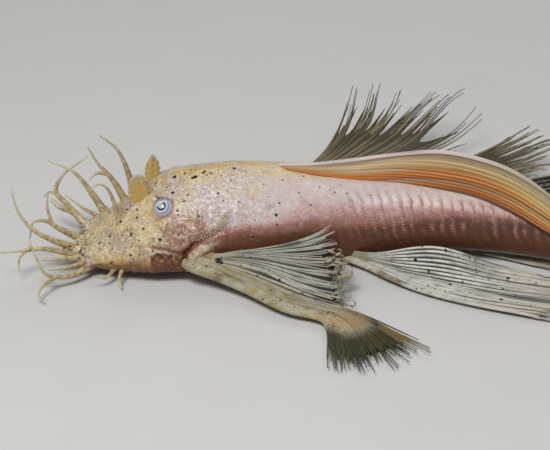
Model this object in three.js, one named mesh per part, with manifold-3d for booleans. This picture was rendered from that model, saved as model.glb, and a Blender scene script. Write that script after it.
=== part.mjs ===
// A long-finned bristlenose pleco, life size, resting on its belly and the rim of its mouth.
// Millimetres. +X runs from the snout to the tail, +Z is up, and -Y is the fish's left side.
// The origin is on the floor, at the middle of the flat of the belly.

import * as THREE from 'three';
import { mergeVertices } from 'three/addons/utils/BufferGeometryUtils.js';
import Module from 'manifold-3d';

const wasm = await Module();
wasm.setup();

// Driving sizes of the body
const snoutX = -44.1;
const tailX = 64.6;
const nodeGap = 0.3;
const headBend = 0.0014; // the head turns a little away from the left side
const tailBend = 0.00706; // the tail swings to the left
const tailBendStart = 15;
const sidePanels = 10; // upper part of a half section, two panels for each row of plates
const bellyPanels = 4; // lower part of a half section
const belowWidest = 3.4; // how square the underside is

// Bony plates
const plateFrontX = -7;
const frontPitch = 3.7;
const rearPitch = 2.5;
const plateStep = 0.5;
const plateLift = 0.45;
const seamLift = 0.26;
const plateSlant = 0.3; // share of the pitch by which the middle of a plate runs back

// Fins
const rayWidth = 0.36;
const rayThickness = 0.42;
const webThickness = 0.27;
const threadTip = 0.13;
const rootClearance = 0.75; // room between the smooth body and a fin's root, plates included

// Eyes
const eyeRadius = 2.2;
const eyeX = -22.9;
const eyeY = 7.1;
const eyeZ = 14.1;
const eyeSkew = 0.75; // the head is turned: the right eye sits this far back, the left one forward

// Along the body: x, half width, height of the back, of the underside and of the widest level,
// and how round the shoulders are (2 is an ellipse)
const bodyStations = [
  [-44.1, 0.6, 3.6, 2.6, 3.1, 2.0],
  [-43.6, 5.6, 4.5, 1.7, 3.0, 2.0],
  [-42.2, 9.0, 5.2, 1.3, 3.0, 1.9],
  [-40.1, 11.1, 6.5, 1.1, 3.2, 1.8],
  [-36.2, 12.5, 9.3, 1.1, 3.6, 1.75],
  [-32.1, 13.8, 12.7, 1.1, 4.2, 1.7],
  [-28.3, 14.9, 15.6, 1.2, 4.6, 1.7],
  [-24.0, 15.4, 18.1, 1.3, 4.8, 1.7],
  [-19.5, 15.3, 19.4, 1.4, 5.0, 1.75],
  [-12.0, 14.6, 20.4, 0.3, 5.0, 1.8],
  [-6.0, 14.0, 20.5, -0.5, 4.9, 1.8],
  [5.4, 12.8, 19.4, -0.5, 4.9, 1.8],
  [16.5, 11.5, 18.1, -0.4, 5.2, 1.85],
  [27.5, 10.2, 16.8, 0.9, 5.6, 1.9],
  [38.5, 8.6, 15.3, 1.6, 6.0, 1.95],
  [49.5, 7.0, 13.9, 1.7, 6.2, 2.0],
  [60.5, 5.4, 13.1, 1.7, 6.4, 2.0],
  [64.6, 4.9, 13.1, 1.8, 6.6, 2.0],
];

// A smooth curve through one column of the stations
function smoothColumn(rows, column) {
  const slope = rows.map((row, i) => {
    const before = rows[Math.max(0, i - 1)];
    const after = rows[Math.min(rows.length - 1, i + 1)];
    return (after[column] - before[column]) / (after[0] - before[0]);
  });
  return (x) => {
    let i = rows.findIndex((row) => row[0] > x) - 1;
    if (i < 0) i = x < rows[0][0] ? 0 : rows.length - 2;
    const span = rows[i + 1][0] - rows[i][0];
    const t = THREE.MathUtils.clamp((x - rows[i][0]) / span, 0, 1);
    const a = rows[i][column];
    const b = rows[i + 1][column];
    const rise = b - a;
    const startPull = slope[i] * span - rise;
    const endPull = rise - slope[i + 1] * span;
    return a + rise * t + t * (1 - t) * (startPull * (1 - t) + endPull * t);
  };
}

const halfWidthAt = smoothColumn(bodyStations, 1);
const backAt = smoothColumn(bodyStations, 2);
const undersideAt = smoothColumn(bodyStations, 3);
const widestAt = smoothColumn(bodyStations, 4);
const shoulderAt = smoothColumn(bodyStations, 5);

function midlineY(x) {
  const head = Math.min(0, x);
  const tail = Math.max(0, x - tailBendStart);
  return headBend * head * head - tailBend * tail * tail;
}

function midlineSlope(x) {
  return 2 * headBend * Math.min(0, x) - 2 * tailBend * Math.max(0, x - tailBendStart);
}

// A point of the skin. around runs from 0 at the back, over 1 at the widest level, to 2 at the
// middle of the belly; side is 1 on the right and -1 on the left; out is added outwards.
function skinPoint(x, around, side, out) {
  const width = halfWidthAt(x) + out;
  const widest = widestAt(x);
  const upper = around <= 1;
  const angle = (upper ? around : around - 1) * Math.PI / 2;
  const power = 2 / (upper ? shoulderAt(x) : belowWidest);
  const sine = Math.sin(angle) ** power;
  const cosine = Math.max(0, Math.cos(angle)) ** power;
  const lateral = side * width * (upper ? sine : cosine);
  const top = backAt(x) + out - widest;
  const bottom = widest - undersideAt(x) + out;
  const z = upper ? widest + top * cosine : widest - bottom * sine;
  const slope = midlineSlope(x);
  const length = Math.hypot(1, slope);
  return new THREE.Vector3(x - lateral * slope / length, midlineY(x) + lateral / length, z);
}

// Closed meshes and joins
function solidFrom(points, faces) {
  const make = (list) => new wasm.Manifold(new wasm.Mesh({
    numProp: 3,
    vertProperties: new Float32Array(points.flatMap((p) => [p.x, p.y, p.z])),
    triVerts: new Uint32Array(list.flat()),
  }));
  const made = make(faces);
  return made.volume() > 0 ? made : make(faces.map(([a, b, c]) => [a, c, b]));
}

function solidOf(geometry) {
  const bare = geometry.clone();
  bare.deleteAttribute('normal');
  bare.deleteAttribute('uv');
  const merged = mergeVertices(bare, 1e-4);
  const place = merged.attributes.position;
  const points = [];
  for (let i = 0; i < place.count; i += 1) points.push(new THREE.Vector3().fromBufferAttribute(place, i));
  const faces = [];
  for (let i = 0; i < merged.index.count; i += 3) {
    const face = [0, 1, 2].map((k) => merged.index.getX(i + k));
    if (new Set(face).size === 3) faces.push(face);
  }
  return solidFrom(points, faces);
}

function largestOf(solid) {
  return solid.decompose().reduce((best, piece) => (piece.volume() > best.volume() ? piece : best));
}

function joined(pieces) {
  return largestOf(pieces.reduce((sum, piece) => sum.add(piece)));
}

function namedMesh(name, solid, colour, roughness) {
  const mesh = solid.getMesh();
  const places = [];
  for (let i = 0; i < mesh.numVert; i += 1) {
    for (let k = 0; k < 3; k += 1) places.push(mesh.vertProperties[i * mesh.numProp + k]);
  }
  const geometry = new THREE.BufferGeometry();
  geometry.setAttribute('position', new THREE.Float32BufferAttribute(places, 3));
  geometry.setIndex(Array.from(mesh.triVerts));
  geometry.computeVertexNormals();
  const material = new THREE.MeshStandardMaterial({ color: colour, roughness, metalness: 0 });
  const made = new THREE.Mesh(geometry, material);
  made.name = name;
  return made;
}

// Closes a stack of rings of equal length with a fan at each end
function loft(rings) {
  const size = rings[0].length;
  const points = rings.flat();
  const faces = [];
  for (let r = 0; r + 1 < rings.length; r += 1) {
    for (let c = 0; c < size; c += 1) {
      const a = r * size + c;
      const b = r * size + (c + 1) % size;
      faces.push([a, b, b + size], [a, b + size, a + size]);
    }
  }
  const middle = (ring) => ring.reduce((sum, p) => sum.add(p), new THREE.Vector3()).divideScalar(size);
  const start = points.push(middle(rings[0])) - 1;
  const end = points.push(middle(rings[rings.length - 1])) - 1;
  const last = (rings.length - 1) * size;
  for (let c = 0; c < size; c += 1) {
    const next = (c + 1) % size;
    faces.push([start, next, c], [end, last + c, last + next]);
  }
  return solidFrom(points, faces);
}

// The rings along the body: close together on the snout, wider on the head, and two for each plate
function plateRings() {
  const rings = [];
  let x = plateFrontX;
  while (x < tailX - rearPitch) {
    const along = (x - plateFrontX) / (tailX - plateFrontX);
    const pitch = THREE.MathUtils.lerp(frontPitch, rearPitch, along);
    rings.push({ x, lift: 0, slant: plateSlant * pitch });
    rings.push({ x: x + pitch - plateStep, lift: 1, slant: plateSlant * pitch });
    x += pitch;
  }
  return rings;
}

const headRingX = [-44.1, -43.6, -42.2, -40.1, -37, -34, -31, -28, -25, -22, -19, -16, -13, -10];
const bodyRings = [
  ...headRingX.map((x) => ({ x, lift: 0, slant: 0 })),
  ...plateRings(),
  { x: tailX, lift: 0, slant: 0 },
];

// One ring of the body; the plates' middles stand proud and run back, their seams lie low
function bodyRing({ x, lift, slant }, out) {
  const panels = sidePanels + bellyPanels;
  const aroundAt = (k) => (k <= sidePanels ? k / sidePanels : 1 + (k - sidePanels) / bellyPanels);
  const half = (side) => Array.from({ length: panels + 1 }, (_, k) => {
    const middle = k < sidePanels && k % 2 === 1;
    const plated = k <= sidePanels;
    const raise = plated ? lift * (middle ? plateLift : seamLift) : 0;
    const shifted = Math.min(tailX, x + (middle ? slant : 0));
    return skinPoint(shifted, aroundAt(k), side, out + raise);
  });
  const right = half(1);
  const left = half(-1).slice(1, -1).reverse();
  return [...right, ...left];
}

const wholeBody = loft(bodyRings.map((ring) => bodyRing(ring, 0))).trimByPlane([0, 0, 1], 0);

// The room that fins keep clear of: the smooth body, grown outwards
const clearRingX = Array.from({ length: 34 }, (_, i) => THREE.MathUtils.lerp(snoutX, tailX, i / 33));
const clearRings = clearRingX.map((x) => bodyRing({ x, lift: 0, slant: 0 }, rootClearance));
const tailDirection = new THREE.Vector3(1, midlineSlope(tailX), 0).normalize();
const lastRing = clearRings[clearRings.length - 1];
clearRings.push(lastRing.map((p) => p.clone().addScaledVector(tailDirection, nodeGap)));
const clearBody = loft(clearRings);

// Cuts between snout, head, torso and tail: a plane through a point, with a gap round it
const snoutCut = { x: -31.6, lean: 0 };
const gillCut = { x: -23.4, lean: 0.9 }; // leans back along the gill slit
const tailCut = { x: 37, lean: 0 };

function inFrontOf(solid, { x, lean }) {
  return solid.trimByPlane([-1, 0, lean], -x / Math.hypot(1, lean) + nodeGap / 2);
}

function behind(solid, { x, lean }) {
  return solid.trimByPlane([1, 0, -lean], x / Math.hypot(1, lean) + nodeGap / 2);
}

// A tapered feeler through points, rooted below the first one
function feeler(points, rootRadius, tipRadius, sides = 4, steps = 6) {
  const inward = points[0].clone().sub(points[1]).normalize();
  const rooted = [points[0].clone().addScaledVector(inward, 1.6), ...points];
  const curve = new THREE.CatmullRomCurve3(rooted, false, 'centripetal');
  const frames = curve.computeFrenetFrames(steps, false);
  const rings = [];
  for (let i = 0; i <= steps; i += 1) {
    const t = i / steps;
    const radius = tipRadius + (rootRadius - tipRadius) * (1 - t) ** 1.3;
    const centre = curve.getPointAt(t);
    rings.push(Array.from({ length: sides }, (_, k) => {
      const angle = k / sides * Math.PI * 2;
      return centre.clone()
        .addScaledVector(frames.normals[i], Math.cos(angle) * radius)
        .addScaledVector(frames.binormals[i], Math.sin(angle) * radius);
    }));
  }
  return loft(rings);
}

const spot = (x, y, z) => new THREE.Vector3(x, y, z);
const spots = (list) => list.map(([x, y, z]) => spot(x, y, z));

// Tentacles of the snout: root radius, then root, bends and tip
const tentacles = [
  [1.2, [-31.9, -3, 14.5], [-34.4, -4, 21], [-37, -5, 25.4], [-38.8, -6, 30]],
  [0.6, [-35.6, -4.4, 22.6], [-37.4, -5.4, 23.2], [-39.3, -6, 22.2]],
  [0.8, [-33.6, -4.9, 12], [-35.6, -5.4, 19.6], [-37.4, -6.2, 21], [-39.3, -7.4, 20]],
  [1.3, [-36.6, 1, 9.4], [-39.9, 1, 16.1], [-43.1, 1.2, 20.8], [-48.4, 2, 23.4]],
  [1.2, [-41.2, 3.4, 5.6], [-45.7, 6, 10.5], [-47.9, 7, 13.2], [-46.3, 8, 16.5], [-40.4, 10, 19.9]],
  [0.5, [-47.2, 6.7, 12.2], [-49.2, 7.4, 13], [-50.9, 8, 11.6]],
  [1.2, [-42.4, 0.4, 4.2], [-47, -0.6, 7.8], [-50.2, -1.2, 10.4], [-52.6, -2, 10.6], [-53.7, -2.2, 6.8]],
  [0.55, [-48.6, -0.8, 9.2], [-49.4, 0, 12.6], [-49, 0.6, 16.3]],
  [1.2, [-42.6, -2.4, 3.8], [-47.4, -4.4, 6.6], [-52.7, -5, 10.6], [-55.4, -4, 14.6], [-56.4, -3, 19.6]],
  [1.1, [-42.8, -3.8, 2.8], [-47.2, -5, 4.6], [-50.6, -5.6, 5.8], [-54.4, -7, 6.4], [-59.6, -9, 7.3]],
  [0.5, [-53.2, -6.7, 7], [-55.6, -8.6, 5.6], [-56, -10, 3]],
  [1.15, [-42.2, -5.6, 3], [-46.6, -7.6, 4.2], [-51, -9, 4.8]],
  [1.1, [-40.8, -7.2, 3], [-45, -10.2, 3.4], [-49.4, -13, 4.6]],
  [1.1, [-39.6, -8.6, 3], [-45, -12.6, 2.6], [-49.6, -14.2, 4.2], [-51.6, -13.4, 8.4], [-52.8, -12.2, 11.8]],
  [0.6, [-47.6, -13.6, 3.2], [-50.6, -17.4, 2.8], [-51.2, -19.6, 2.2], [-50, -21.4, 2.4]],
  [0.8, [-35, -11, 3], [-37, -13.6, 2.2], [-39.6, -15, 3.4]],
  [0.6, [-33.6, -12.2, 2.8], [-34.2, -14.4, 2], [-33.6, -16.4, 0.8]],
  [1.1, [-40.6, 8.6, 3.2], [-45, 12.4, 4.4], [-50, 14.4, 8]],
  [0.5, [-46.6, 13, 5.2], [-48.6, 15.6, 4.6], [-50.4, 17, 6]],
  [1.0, [-38.4, 11.4, 3.4], [-42.6, 15.4, 4], [-47, 18, 6.6]],
  [0.9, [-36, 13.2, 3.4], [-38.4, 17.4, 3.4], [-42, 20, 5.4]],
  [0.7, [-33.6, 14.2, 3.2], [-34.6, 17.2, 2.8], [-36.6, 19.2, 3.8]],
];
const crownTentacle = [1.2, [-30.3, 0, 13.5], [-31, -0.4, 20], [-33, -1.6, 27], [-36.5, -3, 31.2]];
const tentacleTip = 0.22;

function tentacle([radius, ...places]) {
  return feeler(spots(places), radius, tentacleTip);
}

// Thick rim of the sucker mouth, flat where it rests on the floor, round the mouth opening
function mouthRim(solid) {
  const rim = solidOf(new THREE.TorusGeometry(1, 0.26, 6, 18)
    .scale(3.8, 5.6, 4.8)
    .translate(-36.7, midlineY(-36.7), 1.1));
  const opening = solidOf(new THREE.SphereGeometry(1, 12, 6)
    .scale(2.1, 3.1, 1.6)
    .translate(-36.9, midlineY(-36.9), 1.0));
  return solid.add(rim).subtract(opening).trimByPlane([0, 0, 1], 0);
}

// Turns a shape made upright so that +Z points along a direction, and moves it to a place
function aim(geometry, direction, place) {
  const turn = new THREE.Quaternion().setFromUnitVectors(spot(0, 0, 1), direction.clone().normalize());
  return geometry.applyQuaternion(turn).translate(place.x, place.y, place.z);
}

function eyeCentre(side) {
  return spot(eyeX + side * eyeSkew, midlineY(eyeX) + side * eyeY, eyeZ);
}

function eyeOutward(side) {
  return spot(-0.25, 0.62 * side, 0.74).normalize();
}

function orbitRim(side) {
  const place = eyeCentre(side).addScaledVector(eyeOutward(side), 0.75);
  return solidOf(aim(new THREE.TorusGeometry(eyeRadius + 0.75, 0.75, 5, 12), eyeOutward(side), place));
}

function eyeHole(side) {
  const place = eyeCentre(side);
  return solidOf(new THREE.SphereGeometry(eyeRadius + nodeGap, 12, 8).translate(place.x, place.y, place.z));
}

// Skin flap beside each nostril, a thick leaf that stands up from the snout
const flapLeft = { x: -28.6, away: -3.6, sunk: 2.2, width: 5.2, height: 7.3, lean: -0.02 };
const flapRight = { x: -26.4, away: 3.2, sunk: 1.4, width: 3.6, height: 5.8, lean: 0.1 };

function nostrilFlap({ x, away, sunk, width, height, lean }) {
  const root = spot(x, midlineY(x) + away, backAt(x) - sunk);
  const leaf = new THREE.SphereGeometry(1, 8, 6).scale(width / 2, 0.6, height / 2 + 0.8);
  return solidOf(aim(leaf, spot(lean, 0.02 * away, 1), root.add(spot(0, 0, height / 2))));
}

// Short bristles in rows behind the cheek, where the gill cover ends
function cheekSpines(side) {
  const spines = [];
  for (let row = 0; row < 2; row += 1) {
    for (let k = 0; k < 5; k += 1) {
      const x = -20.6 + k * 1.7 + row * 0.5;
      const around = 1.0 - 0.075 * k - 0.07 * row;
      const root = skinPoint(x, around, side, -0.3);
      const tip = root.clone().add(spot(1.5, side * 1.5, 0.25));
      spines.push(feeler([root, tip], 0.42, 0.14, 3, 1));
    }
  }
  return spines;
}

// A fin is a fan of rays laid between guide curves. Each guide is set at a ray number.
// A ray's ridge stands on both faces, the web between rays ends at webEnd of the ray's length,
// and past it each ray goes on as a free thread.
function finSolid({ guides, rays, webEnd, web = 6, threads = 2, lead = 1, wave = 0.5, seed = 1 }) {
  const curves = guides.map(({ points }) => new THREE.CatmullRomCurve3(spots(points), false, 'centripetal'));
  const random = seededRandom(seed);
  const phase = Array.from({ length: rays }, () => random() * Math.PI * 2);
  const ends = Array.from({ length: rays }, (_, i) => webEnd(i) * (1 - 0.12 * random()));

  function along(ray, t) {
    const crossing = curves.map((curve) => curve.getPointAt(t));
    const sheet = new THREE.CatmullRomCurve3(crossing, false, 'centripetal');
    const at = THREE.MathUtils.clamp(ray, 0, rays - 1);
    let g = guides.findIndex((guide) => guide.ray >= at);
    g = Math.max(1, g);
    const span = guides[g].ray - guides[g - 1].ray;
    return sheet.getPoint((g - 1 + (at - guides[g - 1].ray) / span) / (guides.length - 1));
  }

  function frame(ray, t) {
    const forward = along(ray, Math.min(1, t + 0.03)).sub(along(ray, Math.max(0, t - 0.03))).normalize();
    const across = along(ray + 0.4, t).sub(along(ray - 0.4, t));
    const spacing = across.length() / 0.8;
    across.addScaledVector(forward, -across.dot(forward)).normalize();
    const normal = new THREE.Vector3().crossVectors(forward, across).normalize();
    return { across, normal, spacing };
  }

  const points = [];
  const faces = [];
  const quad = (a, b, c, d) => faces.push([a, b, c], [a, c, d]);

  // Six points round a ray: left, ridge and right of the front face, then of the back face
  function rowOf(ray, t, free) {
    const { across, normal, spacing } = frame(ray, t);
    const ripple = wave * Math.sin(phase[ray] + t * 7) * t * t * Math.min(1, spacing / 2);
    const centre = along(ray, t).addScaledVector(normal, ripple);
    const thick = (ray === 0 ? lead : 1);
    const shrink = THREE.MathUtils.lerp(1, threadTip / rayThickness, free);
    const half = Math.min(rayWidth * thick, spacing * 0.3) * shrink;
    const ridge = rayThickness * thick * shrink;
    const shoulder = Math.min(webThickness, ridge * 0.65);
    const first = points.length;
    for (const face of [1, -1]) {
      for (const [shift, height] of [[-1, shoulder], [0, ridge], [1, shoulder]]) {
        const moved = centre.clone().addScaledVector(across, shift * half);
        points.push(moved.addScaledVector(normal, face * height));
      }
    }
    return first;
  }

  const rows = Array.from({ length: rays }, (_, ray) => (
    Array.from({ length: web }, (__, j) => rowOf(ray, ends[ray] * j / (web - 1), 0))));
  const quads = [[0, 1], [1, 2], [4, 3], [5, 4]];
  for (let ray = 0; ray < rays; ray += 1) {
    const row = rows[ray];
    const next = rows[ray + 1];
    for (let j = 0; j + 1 < web; j += 1) {
      for (const [a, b] of quads) quad(row[j] + a, row[j] + b, row[j + 1] + b, row[j + 1] + a);
      if (ray === 0) quad(row[j] + 3, row[j], row[j + 1], row[j + 1] + 3);
      if (!next) quad(row[j] + 2, row[j] + 5, row[j + 1] + 5, row[j + 1] + 2);
      else {
        quad(row[j] + 2, next[j], next[j + 1], row[j + 1] + 2);
        quad(next[j] + 3, row[j] + 5, row[j + 1] + 5, next[j + 1] + 3);
      }
    }
    // the root's edge
    quad(row[0] + 1, row[0], row[0] + 3, row[0] + 4);
    quad(row[0] + 2, row[0] + 1, row[0] + 4, row[0] + 5);
    if (next) {
      quad(next[0], row[0] + 2, row[0] + 5, next[0] + 3);
      const end = web - 1;
      quad(row[end] + 2, next[end], next[end] + 3, row[end] + 5);
    }
    // the free thread
    let from = row[web - 1];
    for (let k = 1; k <= threads; k += 1) {
      const t = ends[ray] + (1 - ends[ray]) * k / threads;
      const to = rowOf(ray, Math.min(1, t), k / threads);
      for (const [a, b] of [...quads, [3, 0], [2, 5]]) quad(from + a, from + b, to + b, to + a);
      from = to;
    }
    quad(from, from + 1, from + 4, from + 3);
    quad(from + 1, from + 2, from + 5, from + 4);
  }
  return solidFrom(points, faces);
}

function seededRandom(seed) {
  let state = seed * 7919 + 13;
  return () => {
    state = (state * 16807) % 2147483647;
    return state / 2147483647;
  };
}

// Fins are rooted inside the body, then cut clear of it and of the floor
const finFloor = 0.12;

function rootedFin(fin) {
  return largestOf(finSolid(fin).subtract(clearBody).trimByPlane([0, 0, 1], finFloor));
}

// Pectoral fins: the spine leads, its outer rays run on as a fan past the spine's tip,
// and the inner rays end in a frayed, upturned edge
const pectoralLeft = {
  rays: 14,
  seed: 3,
  lead: 2.2,
  web: 7,
  webEnd: (ray) => (ray <= 6 ? 0.8 : 0.66),
  guides: [
    {
      ray: 0,
      points: [[-21.5, -10, 4.6], [-19.1, -15.5, 4.7], [-14.0, -18.2, 3.5], [-7.8, -22.8, 2.5],
        [0.6, -31.8, 1.9], [8.2, -36.4, 1.6], [8.8, -54, 1.0]],
    },
    {
      ray: 3,
      points: [[-20.5, -10, 5.2], [-17.8, -15.6, 5.3], [-12.6, -18, 4.2], [-6.4, -22, 3.1],
        [2.6, -30.2, 2.1], [12, -36.2, 1.6], [16.4, -58.4, 0.9]],
    },
    {
      ray: 6,
      points: [[-19.5, -10, 5.7], [-16.4, -15.6, 5.9], [-11, -17.5, 5], [-4.6, -20.8, 3.7],
        [5, -28.2, 2.5], [16, -34.8, 1.6], [30, -50, 1.0]],
    },
    {
      ray: 7,
      points: [[-18.6, -10, 6], [-15.3, -15.5, 6.3], [-10, -16.9, 5.7], [-3.4, -19.4, 4.6],
        [4.6, -25.2, 3.2], [10.8, -29.2, 2.5], [17, -31, 2]],
    },
    {
      ray: 10,
      points: [[-17.6, -10, 6.4], [-14.1, -15.4, 6.8], [-9, -16.1, 6.8], [-2.8, -17.1, 6.5],
        [4.8, -19.2, 5.8], [11, -20, 4.8], [16.4, -20, 3.8]],
    },
    {
      ray: 13,
      points: [[-16.6, -10, 6.8], [-13, -15.3, 7.3], [-8.5, -15.3, 7.6], [-3.9, -15.2, 7.8],
        [3.2, -14.8, 8.6], [8.6, -14.1, 10], [12.2, -13.2, 11.6]],
    },
  ],
};

const pectoralRight = {
  rays: 13,
  seed: 5,
  lead: 2.2,
  webEnd: () => 0.68,
  guides: [
    {
      ray: 0,
      points: [[-15.5, 9, 3.4], [-6, 22.6, 2.4], [10.6, 36.4, 2.4],
        [18, 48.6, 7], [21, 56.9, 11.5]],
    },
    { ray: 3, points: [[-15, 9, 3.7], [-4, 20.8, 2.8], [13, 34, 3], [23, 44.6, 6.6], [28.6, 55.6, 11.4]] },
    {
      ray: 6,
      points: [[-14.5, 9, 4.1], [-2, 18.8, 3.4], [15, 30.6, 3.6],
        [29, 40.4, 6.2], [39.6, 51.6, 11]],
    },
    { ray: 8, points: [[-14.2, 9, 4.5], [-1, 17.4, 4], [16, 26.6, 4.2], [31.5, 36.2, 6], [47, 51, 11.2]] },
    { ray: 10, points: [[-13.8, 9, 5], [0, 16.2, 4.8], [16, 22, 4.8], [33, 29.4, 4.6], [50.4, 37, 4.6]] },
    { ray: 12, points: [[-13.4, 9, 5.8], [-1, 15.6, 6.4], [9, 17, 6.8], [17, 19, 7], [26, 23, 6.6]] },
  ],
};

// Pelvic fins trail from under the belly; the inner edge leans up along the flank
const pelvicLeft = {
  rays: 10,
  seed: 7,
  lead: 1.8,
  web: 5,
  webEnd: () => 0.74,
  guides: [
    {
      ray: 0,
      points: [[9.6, -8, 2.4], [17.4, -12.9, 1.7], [24.2, -20.6, 1.3], [30.4, -26.4, 1.1],
        [41, -33.4, 1.0], [58, -42, 1.0]],
    },
    {
      ray: 5,
      points: [[10.8, -8, 2.7], [19.4, -13.4, 2.3], [27, -18.9, 1.8], [35, -23, 1.5],
        [47, -28.4, 1.2], [66, -35, 1.0]],
    },
    { ray: 9, points: [[12, -8, 3], [21, -13.6, 4.2], [34, -14.6, 5.2], [46, -18.4, 2.6], [60, -25, 1.2]] },
  ],
};

const pelvicRight = {
  rays: 10,
  seed: 9,
  lead: 1.8,
  web: 5,
  webEnd: () => 0.74,
  guides: [
    { ray: 0, points: [[8, 8, 2.4], [15.4, 17.2, 1.5], [30, 26, 1.6], [47, 31.6, 3.6], [61.3, 34.4, 9.2]] },
    { ray: 5, points: [[10, 8, 2.7], [21, 16.4, 1.8], [35, 21.6, 2], [51, 25, 3.4], [66, 28, 6]] },
    { ray: 9, points: [[12, 8, 3], [21, 13, 3.4], [33, 13.2, 3], [45, 13.4, 2.4], [60, 14.6, 2]] },
  ],
};

// Tail fin: a tall soft fan with a long streamer above and below
const caudal = {
  rays: 13,
  seed: 11,
  lead: 1.5,
  webEnd: (ray) => 0.62 + 0.018 * Math.abs(ray - 6),
  guides: [
    {
      ray: 0,
      points: [[62, -14.6, 11.6], [69, -20.5, 14.4], [80, -27.5, 19],
        [93, -32.5, 22.6], [110, -35, 23]],
    },
    {
      ray: 6,
      points: [[62, -14.6, 7.4], [70, -21.2, 8.2], [80, -28, 9.4],
        [90, -33, 10.4], [98, -36, 10.6]],
    },
    { ray: 12, points: [[62, -14.6, 3], [69.5, -21, 2.6], [81, -29, 1.8], [95, -36, 1.2], [114, -42, 1.0]] },
  ],
};

// Small fin on the back of the tail: a spine with a web behind it
const adipose = {
  rays: 5,
  seed: 13,
  lead: 1.6,
  web: 5,
  wave: 0.2,
  webEnd: () => 0.9,
  guides: [
    {
      ray: 0,
      points: [[45.5, midlineY(45.5), 12], [50, midlineY(50), 15.4],
        [55, midlineY(55), 18.6], [64, midlineY(64), 23]],
    },
    {
      ray: 4,
      points: [[54.5, midlineY(54.5), 11.6], [57, midlineY(57), 13.4],
        [60, midlineY(60), 14.8], [64.5, midlineY(64.5), 16]],
    },
  ],
};

// Small fin under the tail, folded flat to the left between the tail and the floor
const anal = {
  rays: 3,
  seed: 15,
  lead: 1,
  web: 4,
  threads: 1,
  wave: 0,
  webEnd: () => 0.85,
  guides: [
    {
      ray: 0,
      points: [[38, -5, 2.8], [42, -8.6, 0.9], [48, -12.4, 0.75],
        [55, -17, 0.75], [60, -20.4, 0.8]],
    },
    {
      ray: 2,
      points: [[44, -7, 2.8], [47, -9, 0.9], [50.5, -10.8, 0.75],
        [55, -13.6, 0.75], [59, -16, 0.8]],
    },
  ],
};

// Back fin, half folded: the spine makes the upper ridge, and the rays behind it lie over the
// left side of the back and trail past the tail.
const dorsal = {
  rays: 9,
  seed: 17,
  lead: 1.5,
  web: 10,
  wave: 0.3,
  webEnd: () => 0.84,
  guides: [
    {
      ray: 0,
      points: [[4.5, 0, 18.4], [17, 0, 19.9], [28, -0.8, 21.1], [36.4, -3.4, 22.4], [44.5, -7.2, 22],
        [51, -11, 20.6], [57, -15.2, 17.6], [63, -20, 13], [74, -28, 8]],
    },
    {
      ray: 4,
      points: [[5.5, -1.4, 17.2], [17, -2.6, 18.4], [28, -4, 18.9], [36.5, -6.6, 18.8], [44.4, -9.8, 18],
        [51, -13.8, 16.4], [57, -18.2, 13.6], [64, -23.4, 9.8], [78, -32, 5.6]],
    },
    {
      ray: 8,
      points: [[7, -3, 16.6], [17, -4.3, 17.3], [27, -5.6, 17], [35, -7.6, 16.3], [43, -10.6, 15.2],
        [49.5, -14.5, 13.4], [56, -19, 10.6], [63, -24.6, 8], [72, -31.6, 5]],
    },
  ],
};

// The wedge that joins the folded back fin to the middle of the back
function dorsalKeel() {
  const rings = [5.5, 9, 13, 17, 21, 25, 28.5].map((x) => {
    const reach = THREE.MathUtils.smoothstep(x, 3, 14);
    const ridge = THREE.MathUtils.lerp(18.4, 20.7, THREE.MathUtils.smoothstep(x, 2, 26));
    const low = backAt(x) - 2.4;
    return spots([
      [x, 0.45, low],
      [x, 0.4, ridge - 0.4],
      [x, -0.3, ridge],
      [x, -2.2 * reach - 0.3, ridge - 2.6],
      [x, -3.4 * reach - 0.4, low],
    ]);
  });
  return loft(rings);
}

function dorsalFin() {
  return largestOf(finSolid(dorsal).add(dorsalKeel()).subtract(clearBody));
}

// The parts, front to back
const skinColour = 0xe6c3a4;
const headColour = 0xe8cf97;
const finColour = 0xe6d9b4;
const orangeFin = 0xd98a3c;
const eyeColour = 0xc9cfe6;
const group = new THREE.Group();
const sides = [['left', -1], ['right', 1]];

let snout = inFrontOf(wholeBody, snoutCut);
snout = mouthRim(snout);
snout = joined([snout, ...tentacles.map(tentacle)]).trimByPlane([0, 0, 1], 0);
group.add(namedMesh('snout', largestOf(snout), headColour, 0.6));

let head = inFrontOf(behind(wholeBody, snoutCut), gillCut);
const headExtras = sides.flatMap(([, side]) => [orbitRim(side), ...cheekSpines(side)]);
head = joined([head, ...headExtras, nostrilFlap(flapLeft), nostrilFlap(flapRight)]);
head = joined([head, tentacle(crownTentacle)]);
head = sides.reduce((rest, [, side]) => rest.subtract(eyeHole(side)), head);
head = inFrontOf(head, gillCut);
group.add(namedMesh('head', largestOf(head), headColour, 0.6));

for (const [name, side] of sides) {
  const place = eyeCentre(side);
  const ball = new THREE.SphereGeometry(eyeRadius, 14, 10);
  group.add(namedMesh(`eye_${name}`, solidOf(ball.translate(place.x, place.y, place.z)), eyeColour, 0.2));
}

const torso = inFrontOf(behind(wholeBody, gillCut), tailCut);
group.add(namedMesh('torso', largestOf(torso), skinColour, 0.6));
group.add(namedMesh('tail', largestOf(behind(wholeBody, tailCut)), skinColour, 0.6));
group.add(namedMesh('dorsal_fin', dorsalFin(), orangeFin, 0.5));
group.add(namedMesh('adipose_fin', rootedFin(adipose), orangeFin, 0.5));
group.add(namedMesh('caudal_fin', rootedFin(caudal), finColour, 0.5));
group.add(namedMesh('anal_fin', rootedFin(anal), finColour, 0.5));
group.add(namedMesh('pectoral_fin_left', rootedFin(pectoralLeft), finColour, 0.5));
group.add(namedMesh('pectoral_fin_right', rootedFin(pectoralRight), finColour, 0.5));
group.add(namedMesh('pelvic_fin_left', rootedFin(pelvicLeft), finColour, 0.5));
group.add(namedMesh('pelvic_fin_right', rootedFin(pelvicRight), finColour, 0.5));

export default group;
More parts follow.
